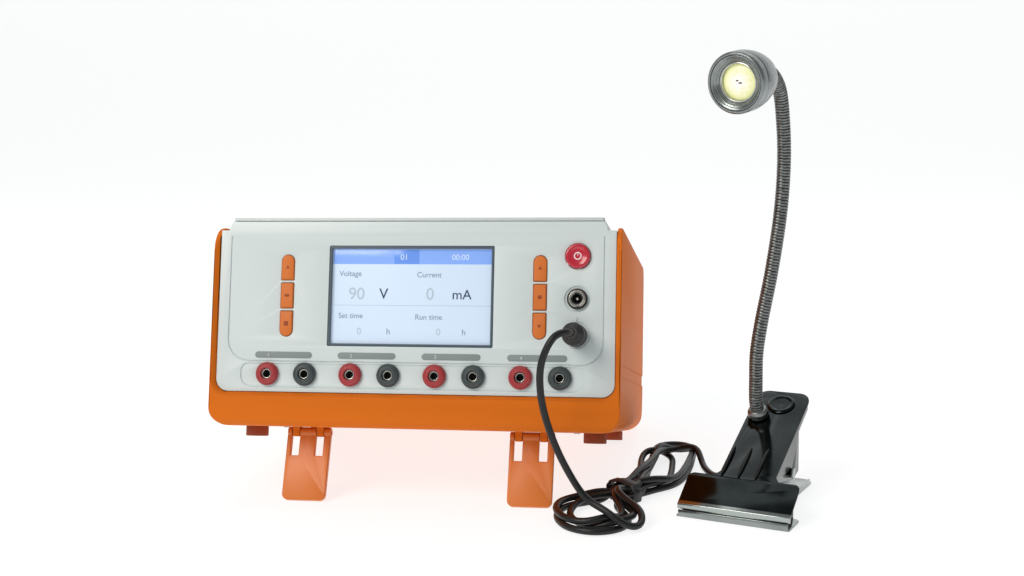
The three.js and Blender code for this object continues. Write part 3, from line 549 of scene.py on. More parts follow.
READINGS = [
    ("volt_label", "Voltage", -49.7, 97.6, 3.4, lcd_mid),
    ("amp_label", "Current", 1.5, 97.0, 3.4, lcd_mid),
    ("volts", "90", -43.4, 82.6, 7.6, lcd_faint),
    ("volt_unit", "V", -23.0, 83.0, 6.8, lcd_ink),
    ("amps", "0", 7.6, 82.6, 7.6, lcd_faint),
    ("amp_unit", "mA", 24.6, 83.0, 6.2, lcd_ink),
    ("set_label", "Set time", -49.7, 70.4, 3.4, lcd_mid),
    ("run_label", "Run time", 0.8, 69.8, 3.4, lcd_mid),
    ("set_hours", "0", -37.2, 60.0, 4.2, lcd_faint),
    ("set_unit", "h", -17.8, 60.2, 3.8, lcd_mid),
    ("run_hours", "0", 14.8, 60.0, 4.2, lcd_faint),
    ("run_unit", "h", 31.4, 60.2, 3.8, lcd_mid),
    ("header_mark", "01", -9.6, 108.2, 3.6, lcd_white),
    ("header_clock", "00:00", 24.0, 108.2, 3.6, lcd_white),
]
for name, text, x, z, high, ink in READINGS:
    lettering(f"display_{name}", text, x, z, high, PICTURE_Y - 0.06, ink)

# ---------------------------------------------------------------- keys
# Six silicone keys in two columns, each a soft orange block with a small moulded-in sign.
# Silicone rubber: matt, soft-edged and a little warmer in colour than the tub.
key_rubber = grained(
    "moulded_silicone_orange", "#d9742b", "#c4621f", 0.8, 0.04, 0.5, 0.35, IOR=1.42
)
# The signs are moulded in a darker silicone: matt brown-orange.
sign_ink = grained("key_sign_brown", "#9c4410", "#83380c", 0.5, 0.01, 0.6)


def ring_of(count, r, start=90):
    angles = [math.radians(start + 360 * k / count) for k in range(count)]
    return [(r * math.cos(a), r * math.sin(a)) for a in angles]


SIGNS = {
    ("left", 0): ring_of(3, 1.5),
    ("left", 1): rectangle(-1.7, -0.9, 1.7, 0.9, 0.85),
    ("left", 2): rectangle(-1.5, -1.5, 1.5, 1.5, 0.2),
    ("right", 0): ring_of(3, 1.6),
    ("right", 1): circle(0, 0, 1.35, 24),
    ("right", 2): ring_of(3, 1.6, -90),
}
for side, x in KEY_COLUMNS.items():
    for row, z in enumerate(KEY_ROWS):
        node = f"key_{side}_{row + 1}"
        cap = plate([key_outline(x, z, row, 0)], -1, 5, case_place, 0.65)
        piece(f"{node}_cap", cap, key_rubber, node, [node])
        sign = [(x + dx, z + dz) for dx, dz in SIGNS[side, row]]
        piece(f"{node}_sign", plate([sign], -1.05, -0.9, case_place, 0.04), sign_ink, node)

# ---------------------------------------------------------------- power button
# A round push button in clear red acrylic with a dished face and a white on-off sign,
# set in a close-fitting round hole in the panel.


def rounded(points, radius, steps=3, closed=True):
    """A polyline in millimetres with its corners turned into small arcs."""
    made = []
    count = len(points)
    for i, p in enumerate(points):
        here = Vector(p)
        if not closed and i in (0, count - 1):
            made.append(here)
            continue
        before = Vector(points[i - 1]) - here
        after = Vector(points[(i + 1) % count]) - here
        turn = before.angle(after, math.pi)
        reach = min(radius, 0.45 * before.length, 0.45 * after.length)
        if turn > math.radians(170) or reach < 1e-3:
            made.append(here)
            continue
        start = here + before.normalized() * reach
        end = here + after.normalized() * reach
        for k in range(steps + 1):
            t = k / steps
            made.append((1 - t) ** 2 * start + 2 * t * (1 - t) * here + t * t * end)
    return made


def turned(profile, place, radius=0.25, segments=64, closed=True):
    """A turned body on the frame's Y axis; the profile lists (radius, distance) in mm."""
    line = rounded(profile, radius, closed=closed)
    work = bmesh.new()
    rings = []
    for r, y in line:
        if r < 1e-4:
            rings.append([work.verts.new((0, y, 0))])
            continue
        angles = [2 * math.pi * k / segments for k in range(segments)]
        rings.append([work.verts.new((r * math.cos(a), y, r * math.sin(a))) for a in angles])
    pairs = list(zip(rings, rings[1:] + rings[:1]))
    if not closed:
        pairs.pop()
    for a, b in pairs:
        if len(a) == 1 and len(b) == 1:
            continue
        for k in range(segments):
            n = (k + 1) % segments
            corners = [a[k % len(a)], a[n % len(a)], b[n % len(b)], b[k % len(b)]]
            work.faces.new(list(dict.fromkeys(corners)))
    mesh = bpy.data.meshes.new("turned")
    work.to_mesh(mesh)
    work.free()
    mesh.transform(place)
    return soften(mesh)


# Cast acrylic: deep clear red under a hard gloss that catches the lights.
red_acrylic = grained(
    "cast_acrylic_red", "#c5283c", "#a81c30", 1.5, 0.01, 0.2, 0.5, IOR=1.49, Coat_Weight=0.6
)
# Pad-printed ink: soft white, seen through the red gloss as faintly pink.
sign_white = grained("pad_print_white", "#f3dfe2", "#e5cfd3", 0.6, 0.01, 0.5)
button_place = case_place @ Matrix.Translation((button_at.x, 0, button_at.z))
BUTTON = [
    (0, -1.7), (2.4, -1.8), (4.6, -2.15), (5.9, -2.6), (6.9, -2.6), (7.6, -2.2), (7.9, -1.5),
    (7.9, 3), (5, 3), (5, 6.5), (0, 6.5),
]
piece(
    "power_button_cap", turned(BUTTON, button_place, 0.3), red_acrylic, "power_button",
    ["power_button"],
)
SIGN_LOOPS = {
    "ring": [circle(0, 0, 2.5, 40), circle(0, 0, 1.75, 40)],
    "bar": [rectangle(-0.3, 0.2, 0.3, 1.5, 0.28)],
}
for part_name, loops in SIGN_LOOPS.items():
    sign = plate(loops, -1.98, -1.7, button_place, 0.05)
    piece(f"power_sign_{part_name}", sign, sign_white, "power_button")

# ---------------------------------------------------------------- sockets and jacks
# Four pairs of 4 mm safety sockets: a coloured shroud round a bright sleeve and a deep bore.
# Polyamide shroud: dense, satin and slightly mottled; the sleeve is nickel-plated brass.
red_pa = grained("moulded_polyamide_red", "#a83236", "#8d2429", 0.7, 0.03, 0.4, 0.4, IOR=1.53)
grey_pa = grained(
    "moulded_polyamide_black_grey", "#3b4547", "#2e3638", 0.7, 0.03, 0.42, 0.4, IOR=1.53
)
# Nickel plate on brass: warm, pale and bright. The bore is a matt near-black plug that stands as
# painted shadow inside the sleeve.
nickel = grained("nickel_plated_brass", "#c9c8c2", "#a5a49c", 0.6, 0.01, 0.25, 0.5, Metallic=1.0)
painted_bore_shadow = grained("bore_shadow_black", "#070808", "#030303", 0.5, 0.01, 0.7)
SHROUD = [
    (3.5, 8), (3.5, -3.0), (3.9, -3.3), (5.2, -3.25), (5.4, -2.95), (5.7, -2.95), (5.9, -3.1),
    (6.8, -2.2), (7.5, -1.1), (7.5, 0.0), (6, 0.0), (6, 17), (3.5, 17),
]
SLEEVE = [(2.3, 13), (2.3, -1.6), (2.6, -1.9), (3.1, -1.9), (3.3, -1.7), (3.3, 13)]
for node, p in zip(SOCKET_NODES, socket_at):
    stand = case_place @ Matrix.Translation((p.x, 0, p.z))
    kind = "red" if "red" in node else "black"
    shroud = turned(SHROUD, stand, 0.18, 56)
    shroud_ink = red_pa if kind == "red" else grey_pa
    piece(f"{node}_shroud", shroud, shroud_ink, "base", [node])
    piece(f"{node}_sleeve", turned(SLEEVE, stand, 0.15, 40), nickel, "base")
    # The near-black plug inside the sleeve is painted shadow in the bore.
    bore = [(0, 12.5), (0, 4), (2.25, 4), (2.25, 12.5)]
    piece(f"{node}_bore", turned(bore, stand, 0.1, 24), painted_bore_shadow, "base")

# Two coaxial lamp jacks, each held by a knurled ring nut; the lower one takes the lamp's plug.
jack_pa = grained("moulded_polyamide_jack", "#1c1f20", "#121415", 0.7, 0.03, 0.42, IOR=1.53)
JACK = [
    (0, 13), (0, 8), (2.9, 8), (2.9, -1.3), (3.4, -1.5), (6.5, -1.5), (6.6, 0), (5.5, 0), (5.5, 13),
]
NUT = [(3.6, -1.7), (3.6, -2.4), (4.0, -2.9), (5.0, -2.9), (5.4, -2.5), (5.4, -1.7)]
PIN = [(0, 9), (0, -0.7), (0.5, -1.0), (0.95, -0.7), (0.95, 9)]
for which, p in zip(JACKS, jack_at):
    stand = case_place @ Matrix.Translation((p.x, 0, p.z))
    housing = turned(JACK, stand, 0.15, 56)
    piece(f"jack_{which}_housing", housing, jack_pa, "base", [f"jack_{which}"])
    ring = turned(NUT, stand, 0.12, 56)
    piece(f"jack_{which}_ring", ring, nickel, "base", [f"jack_{which}_nut"])
    piece(f"jack_{which}_pin", turned(PIN, stand, 0.1, 20), nickel, "base")

# ---------------------------------------------------------------- top cover and rear
# The cover is the same pale steel, folded into a raised hood that laps over the front panel.
# The rear plate is plain zinc-grey steel with vent slots, held by six cross-head screws.
# Baked enamel again, less glossy than the panel's, its colour a touch greyer as painted shade where
# it faces up.
cover_enamel_shaded = grained(
    "baked_enamel_cover", "#d3dad9", "#c8d0cf", 2.2, 0.04, 0.38, 0.4, IOR=1.5
)
piece("hood_cover", dressed("top_cover", 0.5), cover_enamel_shaded, "base", ["top_cover"])
# The cover's rear fold closes the gap under the hood.
hood_back = [(-123, 124.5), (123, 124.5), (120.8, 130.6), (-120.8, 130.6)]
piece(
    "hood_rear_fold", plate([hood_back], 237.8, 240.2, case_place, 0.3), cover_enamel_shaded, "base",
)
# Zinc plate: pale and slightly clouded, between paint and metal in its gloss.
rear_zinc = grained(
    "zinc_plated_steel", "#c0c5c5", "#aab0b1", 3.0, 0.03, 0.42, 0.6, Metallic=0.55
)
piece("rear_plate", dressed("rear_panel", 0.2), rear_zinc, "base", ["rear_panel"])
piece(
    "mains_inlet_body", dressed("mains_inlet", 0.3), inlet_pa, "base",
    ["mains_inlet"],
)
# Nickel plate on steel: bright and smooth, a little dull in the recess.
screw_steel = grained(
    "nickel_plated_screw", "#b9bdbe", "#8f9496", 0.8, 0.01, 0.28, Metallic=1.0
)


def screw_head():
    """A pan head with a cross recess, its face towards -Y, 1 mm units."""
    profile = [(0, -1.5), (1.6, -1.5), (2.6, -0.9), (2.9, 0.0), (0, 0.0)]
    head = working(turned(profile, Matrix(), 0.3, 24))
    for angle in (0, 90):
        bar = bmesh.new()
        bmesh.ops.create_cube(bar, size=1.0)
        mesh = bpy.data.meshes.new("slot")
        bar.to_mesh(mesh)
        bar.free()
        shape = Matrix.Rotation(math.radians(angle), 4, "Y") @ Matrix.Diagonal((3.2, 1.6, 0.6, 1))
        mesh.transform(Matrix.Translation((0, -1.5, 0)) @ shape)
        slot_bar = working(mesh)
        cut = head.modifiers.new("slot", "BOOLEAN")
        cut.object = slot_bar
        cut.operation = "DIFFERENCE"
        cut.solver = "EXACT"
        head.data = evaluated_mesh(head)
        head.modifiers.clear()
        bpy.data.objects.remove(slot_bar)
    mesh = head.data
    bpy.data.objects.remove(head)
    return mesh


def new_tree(name, sockets):
    """A Geometry Nodes tree with named inputs; returns it with its input and output nodes."""
    tree = bpy.data.node_groups.new(name, "GeometryNodeTree")
    tree.interface.new_socket("Geometry", in_out="INPUT", socket_type="NodeSocketGeometry")
    for label, kind, value in sockets:
        socket = tree.interface.new_socket(label, in_out="INPUT", socket_type=kind)
        if value is not None:
            socket.default_value = value
    tree.interface.new_socket("Geometry", in_out="OUTPUT", socket_type="NodeSocketGeometry")
    return tree, add(tree, "NodeGroupInput").outputs, add(tree, "NodeGroupOutput").inputs


def grown(data, tree, **values):
    """The plain mesh that a Geometry Nodes tree makes of its input."""
    made = working(data)
    step = made.modifiers.new("grow", "NODES")
    step.node_group = tree
    for socket in tree.interface.items_tree:
        key = socket.name.replace(" ", "_").lower()
        if socket.in_out == "INPUT" and key in values:
            step[socket.identifier] = values[key]
    return plain_mesh(made)


# Screws: one head set on every point, all facing the same way.
screw_tree, given, result = new_tree(
    "screw_heads",
    [
        ("Head", "NodeSocketObject", None),
        ("Facing", "NodeSocketVector", (0.0, 0.0, 0.0)),
        ("Steel", "NodeSocketMaterial", None),
    ],
)
head_shape = add(screw_tree, "GeometryNodeObjectInfo", {"Object": given["Head"]})
set_heads = add(
    screw_tree,
    "GeometryNodeInstanceOnPoints",
    {
        "Points": given["Geometry"],
        "Instance": head_shape.outputs["Geometry"],
        "Rotation": given["Facing"],
        "Scale": (MM, MM, MM),
    },
)
real_heads = add(screw_tree, "GeometryNodeRealizeInstances", {"Geometry": set_heads.outputs[0]})
steel_heads = add(
    screw_tree,
    "GeometryNodeSetMaterial",
    {"Geometry": real_heads.outputs[0], "Material": given["Steel"]},
)
screw_tree.links.new(steel_heads.outputs[0], result[0])
screw = working(screw_head())


def screws(name, places, turn, body="base"):
    """Screw heads at places in the case's frame, their faces turned from the front by turn."""
    points = bpy.data.meshes.new("points")
    points.from_pydata([case_place @ Vector(p) for p in places], [], [])
    facing = (Matrix.Rotation(-CASE_TILT, 4, "X") @ turn).to_euler()
    mesh = grown(points, screw_tree, head=screw, facing=tuple(facing), steel=screw_steel)
    return piece(name, soften(mesh, 40), screw_steel, body)


REAR_FACE = 240.5
rear_places = [(x, REAR_FACE, z) for x in (-118, 0, 118) for z in (42, 119)]
screws("rear_screws", rear_places, Matrix.Rotation(math.pi, 4, "Z"))
base_places = [(x, y, 0.05) for x in (-100, 100) for y in (60, 205)]
screws("base_screws", base_places, Matrix.Rotation(math.pi / 2, 4, "X"))
inlet_places = [(-80 + x, 243, 66) for x in (-20, 20)]
screws("inlet_screws", inlet_places, Matrix.Rotation(math.pi, 4, "Z"))
bpy.data.objects.remove(screw)

# ---------------------------------------------------------------- feet, legs and pins
# Four dark red-brown rubber feet, and two folding legs in orange ABS that swing on steel pins.
# Moulded rubber: matt, dusty on its edges; the legs share the tub's moulded skin, a shade paler.
foot_rubber = grained("moulded_rubber_brown_red", "#a04a24", "#7c3216", 1.2, 0.08, 0.72, 0.6)
FOOT_NODES = [f"foot_{a}_{b}" for a in ("front", "rear") for b in ("left", "right")]
for node in FOOT_NODES:
    piece(f"{node}_pad", dressed(node, 0.6), foot_rubber, "base", [node])
leg_abs = grained(
    "moulded_abs_orange_pale", "#de7a2c", "#cf681c", 1.1, 0.05, 0.4, 0.35, IOR=1.54
)
# Ground steel: grey and smooth, with a narrow bright line along each pin.
pin_steel = grained("ground_steel", "#aeb2b3", "#8b8f91", 0.5, 0.01, 0.3, 0.5, Metallic=1.0)
for side in ("left", "right"):
    leg = dressed(f"leg_{side}", 0.5)
    piece(f"leg_{side}_moulding", leg, leg_abs, f"leg_{side}", [f"leg_{side}"])
    rod = dressed(f"leg_pin_{side}", 0.2)
    piece(f"leg_pin_{side}_rod", rod, pin_steel, "base", [f"leg_pin_{side}"])

# ---------------------------------------------------------------- the lamp's clip
# Two folded chrome-plated plates sprung apart at the handles, with rubber pads in the jaw.
# The upper plate has three pressed ribs and a round dish near its end for a finger.


def chromed(name, base, tint, roughness, lip=None):
    """Bright chrome on pressed steel: a near-mirror with faint ripples and fine wiping marks.
    Its base and tint colours are painted reflections, mixed by the ripples; a lip colour is a
    pale painted reflection on the folded front edge."""
    made, tree, shader = new_material(name, Metallic=1.0)
    place = add(tree, "ShaderNodeTexCoord").outputs["Object"]
    ripple = add(tree, "ShaderNodeTexNoise", {"Vector": place, "Scale": 60.0, "Detail": 2.0})
    smear = add(tree, "ShaderNodeTexNoise", {"Vector": place, "Scale": 240.0, "Detail": 5.0})
    mixed = add(
        tree, "ShaderNodeMix",
        {"Factor": ripple.outputs["Fac"], "A": colour(base), "B": colour(tint)},
        data_type="RGBA",
    )
    gloss = add(
        tree, "ShaderNodeMapRange",
        {"Value": smear.outputs["Fac"], "To Min": roughness, "To Max": roughness + 0.1},
    )
    bump = add(
        tree, "ShaderNodeBump",
        {"Height": ripple.outputs["Fac"], "Strength": 0.15, "Distance": 0.2 * MM},
    )
    coat = mixed.outputs["Result"]
    # The folded front edge is painted pale as a reflection, fading back over LIP_FADE mm.
    if lip:
        back = (clip_place.to_3x3() @ Vector((0, 1, 0))).normalized()
        depth = add(
            tree, "ShaderNodeVectorMath", {0: place, 1: tuple(back)}, operation="DOT_PRODUCT"
        )
        front = back.dot(clip_place.translation)
        painted_glint_mask = add(
            tree, "ShaderNodeMapRange",
            {
                "Value": depth.outputs["Value"], "From Min": front + LIP_DEPTH * MM,
                "From Max": front + (LIP_DEPTH + LIP_FADE) * MM, "To Min": 1.0, "To Max": 0.0,
            },
        )
        bright = add(
            tree, "ShaderNodeMix", {"Factor": painted_glint_mask.outputs[0], "A": coat, "B": colour(lip)},
            data_type="RGBA",
        )
        coat = bright.outputs["Result"]
    tree.links.new(coat, shader.inputs["Base Color"])
    tree.links.new(gloss.outputs[0], shader.inputs["Roughness"])
    tree.links.new(bump.outputs[0], shader.inputs["Normal"])
    return made


LIP_DEPTH, LIP_FADE = 1.3, 0.5
# Both plates are chrome: the upper's colour is a dark painted reflection of the studio and the
# lower's a pale one.
chrome_dark_reflection = chromed("black_chrome_plate", "#1b1f21", "#3a3f3e", 0.08, "#aab2af")
chrome_pale_reflection = chromed("bright_chrome_plate", "#a2a9a7", "#7f8685", 0.12)
piece(
    "clip_upper_pressing", dressed("clip_upper_plate", 0.25), chrome_dark_reflection, "clip_jaw",
    ["clip_upper_plate"],
)
piece(
    "clip_lower_pressing", dressed("clip_lower_plate", 0.25), chrome_pale_reflection, "base",
    ["clip_lower_plate"],
)
# Moulded rubber: dull black that hides its grain until the light grazes it.
pad_rubber = grained("moulded_rubber_black", "#191a1a", "#0e0f0f", 0.9, 0.06, 0.7, 0.5)
for which, body in (("upper", "clip_jaw"), ("lower", "base")):
    node = f"clip_pad_{which}"
    piece(f"{node}_sheet", dressed(node, 0.3), pad_rubber, body, [node])
piece("clip_pin_rod", dressed("clip_pin", 0.25), pin_steel, "base", ["clip_pin"])

# Pressed ribs and the finger dish stand a little proud of the sloping handle.
SLOPE = math.radians(26.2)
BEND = Vector((0, 18.5, 21.5))
slope_place = clip_place @ Matrix.Translation(BEND) @ Matrix.Rotation(SLOPE, 4, "X")


def pressed_rib(name, x, s0, s1, half):
    """A long low bump along the plate: s runs up the slope, in mm."""
    work = bmesh.new()
    bmesh.ops.create_uvsphere(work, u_segments=24, v_segments=16, radius=1.0)
    mesh = bpy.data.meshes.new(name)
    work.to_mesh(mesh)
    work.free()
    long = (s1 - s0) / 2
    mesh.transform(
        slope_place
        @ Matrix.Translation((x, s0 + long, 0.55))
        @ Matrix.Diagonal((half, long, 0.9, 1))
    )
    return piece(name, soften(mesh), chrome_dark_reflection, "clip_jaw")


for i, x in enumerate((-15, -4, 7)):
    pressed_rib(f"clip_rib_{i + 1}", x, 2, 32, 1.3)

DISH = [(0, 0.5), (5.6, 0.5), (6.6, 0.9), (7.6, 1.25), (8.4, 0.9), (9.2, 0.4), (9.2, 0.0), (0, 0.0)]
dish_place = slope_place @ Matrix.Translation((2, 77, 0.3)) @ Matrix.Rotation(math.pi / 2, 4, "X")
piece("clip_dish", turned(DISH, dish_place, 0.3, 48), chrome_dark_reflection, "clip_jaw")

# ---------------------------------------------------------------- clip spring
# A torsion spring of seven turns sits round the pin, and its two arms press the plates apart.
# Spring wire: dark, oil-tempered and lightly scratched along its length.
spring_wire = grained(
    "oil_tempered_wire", "#6b6e70", "#4a4c4e", 0.4, 0.02, 0.33, 0.6, Metallic=1.0
)


def swept_tree(name, wire_label):
    """A tree that turns a path into a round wire of the given radius and material."""
    tree, given, result = new_tree(
        name,
        [
            (wire_label, "NodeSocketFloat", 0.6 * MM),
            ("Step", "NodeSocketFloat", 0.5 * MM),
            ("Coat", "NodeSocketMaterial", None),
        ],
    )
    line = add(tree, "GeometryNodeMeshToCurve", {"Mesh": given["Geometry"]})
    even = add(
        tree, "GeometryNodeResampleCurve", {"Curve": line.outputs[0], "Length": given["Step"]},
        mode="LENGTH",
    )
    round_wire = add(
        tree, "GeometryNodeCurvePrimitiveCircle", {"Resolution": 10, "Radius": given[wire_label]}
    )
    swept = add(
        tree, "GeometryNodeCurveToMesh",
        {"Curve": even.outputs[0], "Profile Curve": round_wire.outputs[0], "Fill Caps": True},
    )
    real = add(tree, "GeometryNodeRealizeInstances", {"Geometry": swept.outputs[0]})
    coat = add(
        tree, "GeometryNodeSetMaterial", {"Geometry": real.outputs[0], "Material": given["Coat"]}
    )
    tree.links.new(coat.outputs[0], result[0])
    return tree


wire_tree = swept_tree("wound_wire", "Wire Radius")


def wire_mesh(points, radius, step, coat):
    """A round wire along a path of points in the row frame, in metres."""
    line = bpy.data.meshes.new("line")
    line.from_pydata(points, [(i, i + 1) for i in range(len(points) - 1)], [])
    return grown(line, wire_tree, wire_radius=radius, step=step, coat=coat)


spring_middle = clip_place.inverted() @ middle("clip_spring")
COILS, COIL_R, COIL_WIDE, WIRE_R, TURN_STEPS = 7, 4.6, 13, 0.75, 28
pin_y, pin_z = CLIP_PIN_AT.y, CLIP_PIN_AT.z
coil = []
for k in range(COILS * TURN_STEPS + 1):
    a = 2 * math.pi * k / TURN_STEPS
    x = spring_middle.x + COIL_WIDE * (k / (COILS * TURN_STEPS) - 0.5)
    coil.append((x, pin_y + COIL_R * math.cos(a), pin_z + COIL_R * math.sin(a)))
arm_in = [(coil[0][0], pin_y + COIL_R, pin_z - 9), (coil[0][0], pin_y + COIL_R, pin_z - 4)]
arm_out = [(coil[-1][0], pin_y + COIL_R, pin_z + 4), (coil[-1][0], pin_y + COIL_R, pin_z + 8)]
wound = [clip_place @ Vector(p) for p in [*arm_in, *coil, *arm_out]]
piece(
    "clip_spring_coil", soften(wire_mesh(wound, WIRE_R * MM, 0.6 * MM, spring_wire), 50),
    spring_wire, "base", ["clip_spring"],
)

# ---------------------------------------------------------------- gooseneck
# A spring-steel hose of interlocked strip: round ribs at an even pitch, the seams between them
# painted dark as shade.
# The hose is one run from the ferrule to the head, cut into lengths at the middles of the neck
# pieces; the first rides the clip's jaw.
FERRULE = [
    (2.6, -5.5), (6.2, -5.5), (6.2, -1.8), (3, -1.8), (3, 0.3), (6.6, 0.3), (6.9, 1.2),
    (6.6, 4), (5.6, 6), (4.7, 6.3), (2.6, 6),
]
NECK_ON_PLATE = Vector((-9.6, 75.8))
foot_up_slope = (NECK_ON_PLATE.y - BEND.y) / math.cos(SLOPE)
foot_at = slope_place @ Vector((NECK_ON_PLATE.x, foot_up_slope, 0))
foot_normal = (slope_place.to_3x3() @ Vector((0, 0, 1))).normalized()
ferrule_place = (
    Matrix.Translation(foot_at)
    @ foot_normal.to_track_quat("Y", "Z").to_matrix().to_4x4()
    @ Matrix.Scale(MM, 4)
)
# Satin nickel: greyer than bright plate, with a broad soft highlight.
satin_nickel = grained(
    "satin_nickel_steel", "#8f9391", "#6f7372", 0.8, 0.02, 0.3, 0.6, Metallic=1.0
)
piece(
    "neck_ferrule_turned", turned(FERRULE, ferrule_place, 0.3, 48), satin_nickel, "clip_jaw",
    ["neck_ferrule"],
)

# The head's lip is half the front ring's depth in front of that ring's middle. The path is
# in millimetres from the point that puts the lip at HEAD_ON_PATH.
HEAD_DIR = Vector((-0.45, -0.87, -0.12)).normalized()
HALF_RING = 4.3
HEAD_AT = middle("lamp_front_ring") + HEAD_DIR * HALF_RING * MM
HEAD_ON_PATH = Vector((201.4, -3, 265.5))
path_origin = HEAD_AT - HEAD_ON_PATH * MM
NECK_PATH = [
    (216.8, 58.5, 76), (217, 56.5, 93), (219.5, 56, 112), (226, 58, 147), (231.3, 61, 185),
    (233, 61.5, 216), (232, 58, 241), (229, 50, 262),
]
HOSE_R = 4.5
RIB_PITCH = 1.9
NECK_STEP = 0.2
CURVE_STEPS = 12
# The hose leaves the ferrule and enters the head square on: two places along each axis, in mm.
FOOT_RUN, HEAD_RUN = (5, 12), (48, 41.5)


def smooth_line(points, step):
    """A centripetal Catmull-Rom line through the points, sampled every step metres."""
    pts = [2 * points[0] - points[1], *points, 2 * points[-1] - points[-2]]
    line = []
    for p0, p1, p2, p3 in zip(pts, pts[1:], pts[2:], pts[3:]):
        t0 = 0.0
        t1 = t0 + max((p1 - p0).length, 1e-6) ** 0.5
        t2 = t1 + max((p2 - p1).length, 1e-6) ** 0.5
        t3 = t2 + max((p3 - p2).length, 1e-6) ** 0.5
        for k in range(CURVE_STEPS):
            t = t1 + (t2 - t1) * k / CURVE_STEPS
            a1 = p0 * ((t1 - t) / (t1 - t0)) + p1 * ((t - t0) / (t1 - t0))
            a2 = p1 * ((t2 - t) / (t2 - t1)) + p2 * ((t - t1) / (t2 - t1))
            a3 = p2 * ((t3 - t) / (t3 - t2)) + p3 * ((t - t2) / (t3 - t2))
            b1 = a1 * ((t2 - t) / (t2 - t0)) + a2 * ((t - t0) / (t2 - t0))
            b2 = a2 * ((t3 - t) / (t3 - t1)) + a3 * ((t - t1) / (t3 - t1))
            line.append(b1 * ((t2 - t) / (t2 - t1)) + b2 * ((t - t1) / (t2 - t1)))
    line.append(points[-1])
    return resampled(line, step)


def resampled(line, step):
    """The same line as even steps of about the given length."""
    run = np.concatenate([[0], np.cumsum([(b - a).length for a, b in zip(line, line[1:])])])
    stops = np.linspace(0, run[-1], max(2, round(run[-1] / step) + 1))
    table = np.array(line)
    return [Vector([np.interp(s, run, table[:, i]) for i in range(3)]) for s in stops]


neck_line = smooth_line(
    [
        *[foot_at + foot_normal * along * MM for along in FOOT_RUN],
        *[Vector(p) * MM + path_origin for p in NECK_PATH],
        *[HEAD_AT - HEAD_DIR * along * MM for along in HEAD_RUN],
    ],
    NECK_STEP * MM,
)


def hose_coat(name):
    """Interlocked steel strip: painted highlight on the crowns, broken up by noise, and painted
    shade in the seams.
    """
    made, tree, shader = new_material(name, Metallic=0.9)
    place = add(tree, "ShaderNodeTexCoord").outputs["Object"]
    wear_and_glint_noise = add(tree, "ShaderNodeTexNoise", {"Vector": place, "Scale": 420.0, "Detail": 4.0})
    crown = add(tree, "ShaderNodeAttribute", attribute_name="crown")
    painted_glint_mask = add(
        tree, "ShaderNodeMath", {0: crown.outputs["Fac"], 1: wear_and_glint_noise.outputs["Fac"]},
        operation="MULTIPLY",
    )
    # Pale crowns are painted highlight and near-black seams are painted shade.
    mixed = add(
        tree, "ShaderNodeMix",
        {"Factor": painted_glint_mask.outputs[0], "A": colour("#0c0e0f"), "B": colour("#aeb2b0")},
        data_type="RGBA",
    )
    gloss = add(
        tree, "ShaderNodeMapRange",
        {"Value": wear_and_glint_noise.outputs["Fac"], "To Min": 0.24, "To Max": 0.42},
    )
    tree.links.new(mixed.outputs["Result"], shader.inputs["Base Color"])
    tree.links.new(gloss.outputs[0], shader.inputs["Roughness"])
    return made


# Strip steel: the crowns are painted bright as highlight and the seams painted dark as shade.
hose_steel = hose_coat("interlocked_steel_strip")
hose_tree, given, result = new_tree(
    "ribbed_hose",
    [
        ("Radius", "NodeSocketFloat", HOSE_R * MM),
        ("Rib Pitch", "NodeSocketFloat", RIB_PITCH * MM),
        ("Rib Depth", "NodeSocketFloat", 0.5 * MM),
        ("Start", "NodeSocketFloat", 0.0),
        ("Coat", "NodeSocketMaterial", None),
    ],
)
hose_line = add(hose_tree, "GeometryNodeMeshToCurve", {"Mesh": given["Geometry"]})
hose_run = add(hose_tree, "GeometryNodeSplineParameter")
from_foot = add(
    hose_tree, "ShaderNodeMath", {0: hose_run.outputs["Length"], 1: given["Start"]},
    operation="ADD",
)
turns = add(
    hose_tree, "ShaderNodeMath", {0: from_foot.outputs[0], 1: given["Rib Pitch"]},
    operation="DIVIDE",
)
part_turn = add(hose_tree, "ShaderNodeMath", {0: turns.outputs[0]}, operation="FRACT")
half_turn = add(
    hose_tree, "ShaderNodeMath", {0: part_turn.outputs[0], 1: math.pi}, operation="MULTIPLY"
)
# A power under one makes broad round crowns with narrow seams between them.
arch = add(hose_tree, "ShaderNodeMath", {0: half_turn.outputs[0]}, operation="SINE")
crown = add(hose_tree, "ShaderNodeMath", {0: arch.outputs[0], 1: 0.55}, operation="POWER")
seam = add(hose_tree, "ShaderNodeMath", {0: 1.0, 1: crown.outputs[0]}, operation="SUBTRACT")
sunk = add(
    hose_tree, "ShaderNodeMath", {0: seam.outputs[0], 1: given["Rib Depth"]},
    operation="MULTIPLY",
)
local_r = add(
    hose_tree, "ShaderNodeMath", {0: given["Radius"], 1: sunk.outputs[0]},
    operation="SUBTRACT",
)
kept = add(
    hose_tree, "GeometryNodeStoreNamedAttribute",
    {"Geometry": hose_line.outputs[0], "Name": "crown", "Value": crown.outputs[0]},
    data_type="FLOAT",
)
hose_ring = add(hose_tree, "GeometryNodeCurvePrimitiveCircle", {"Resolution": 28, "Radius": 1.0})
hose_skin = add(
    hose_tree, "GeometryNodeCurveToMesh",
    {
        "Curve": kept.outputs[0], "Profile Curve": hose_ring.outputs[0],
        "Scale": local_r.outputs[0], "Fill Caps": True,
    },
)
hose_real = add(hose_tree, "GeometryNodeRealizeInstances", {"Geometry": hose_skin.outputs[0]})
hose_done = add(
    hose_tree, "GeometryNodeSetMaterial",
    {"Geometry": hose_real.outputs[0], "Material": given["Coat"]},
)
hose_tree.links.new(hose_done.outputs[0], result[0])


def nearest_on_neck(point):
    return min(range(len(neck_line)), key=lambda i: (neck_line[i] - point).length)
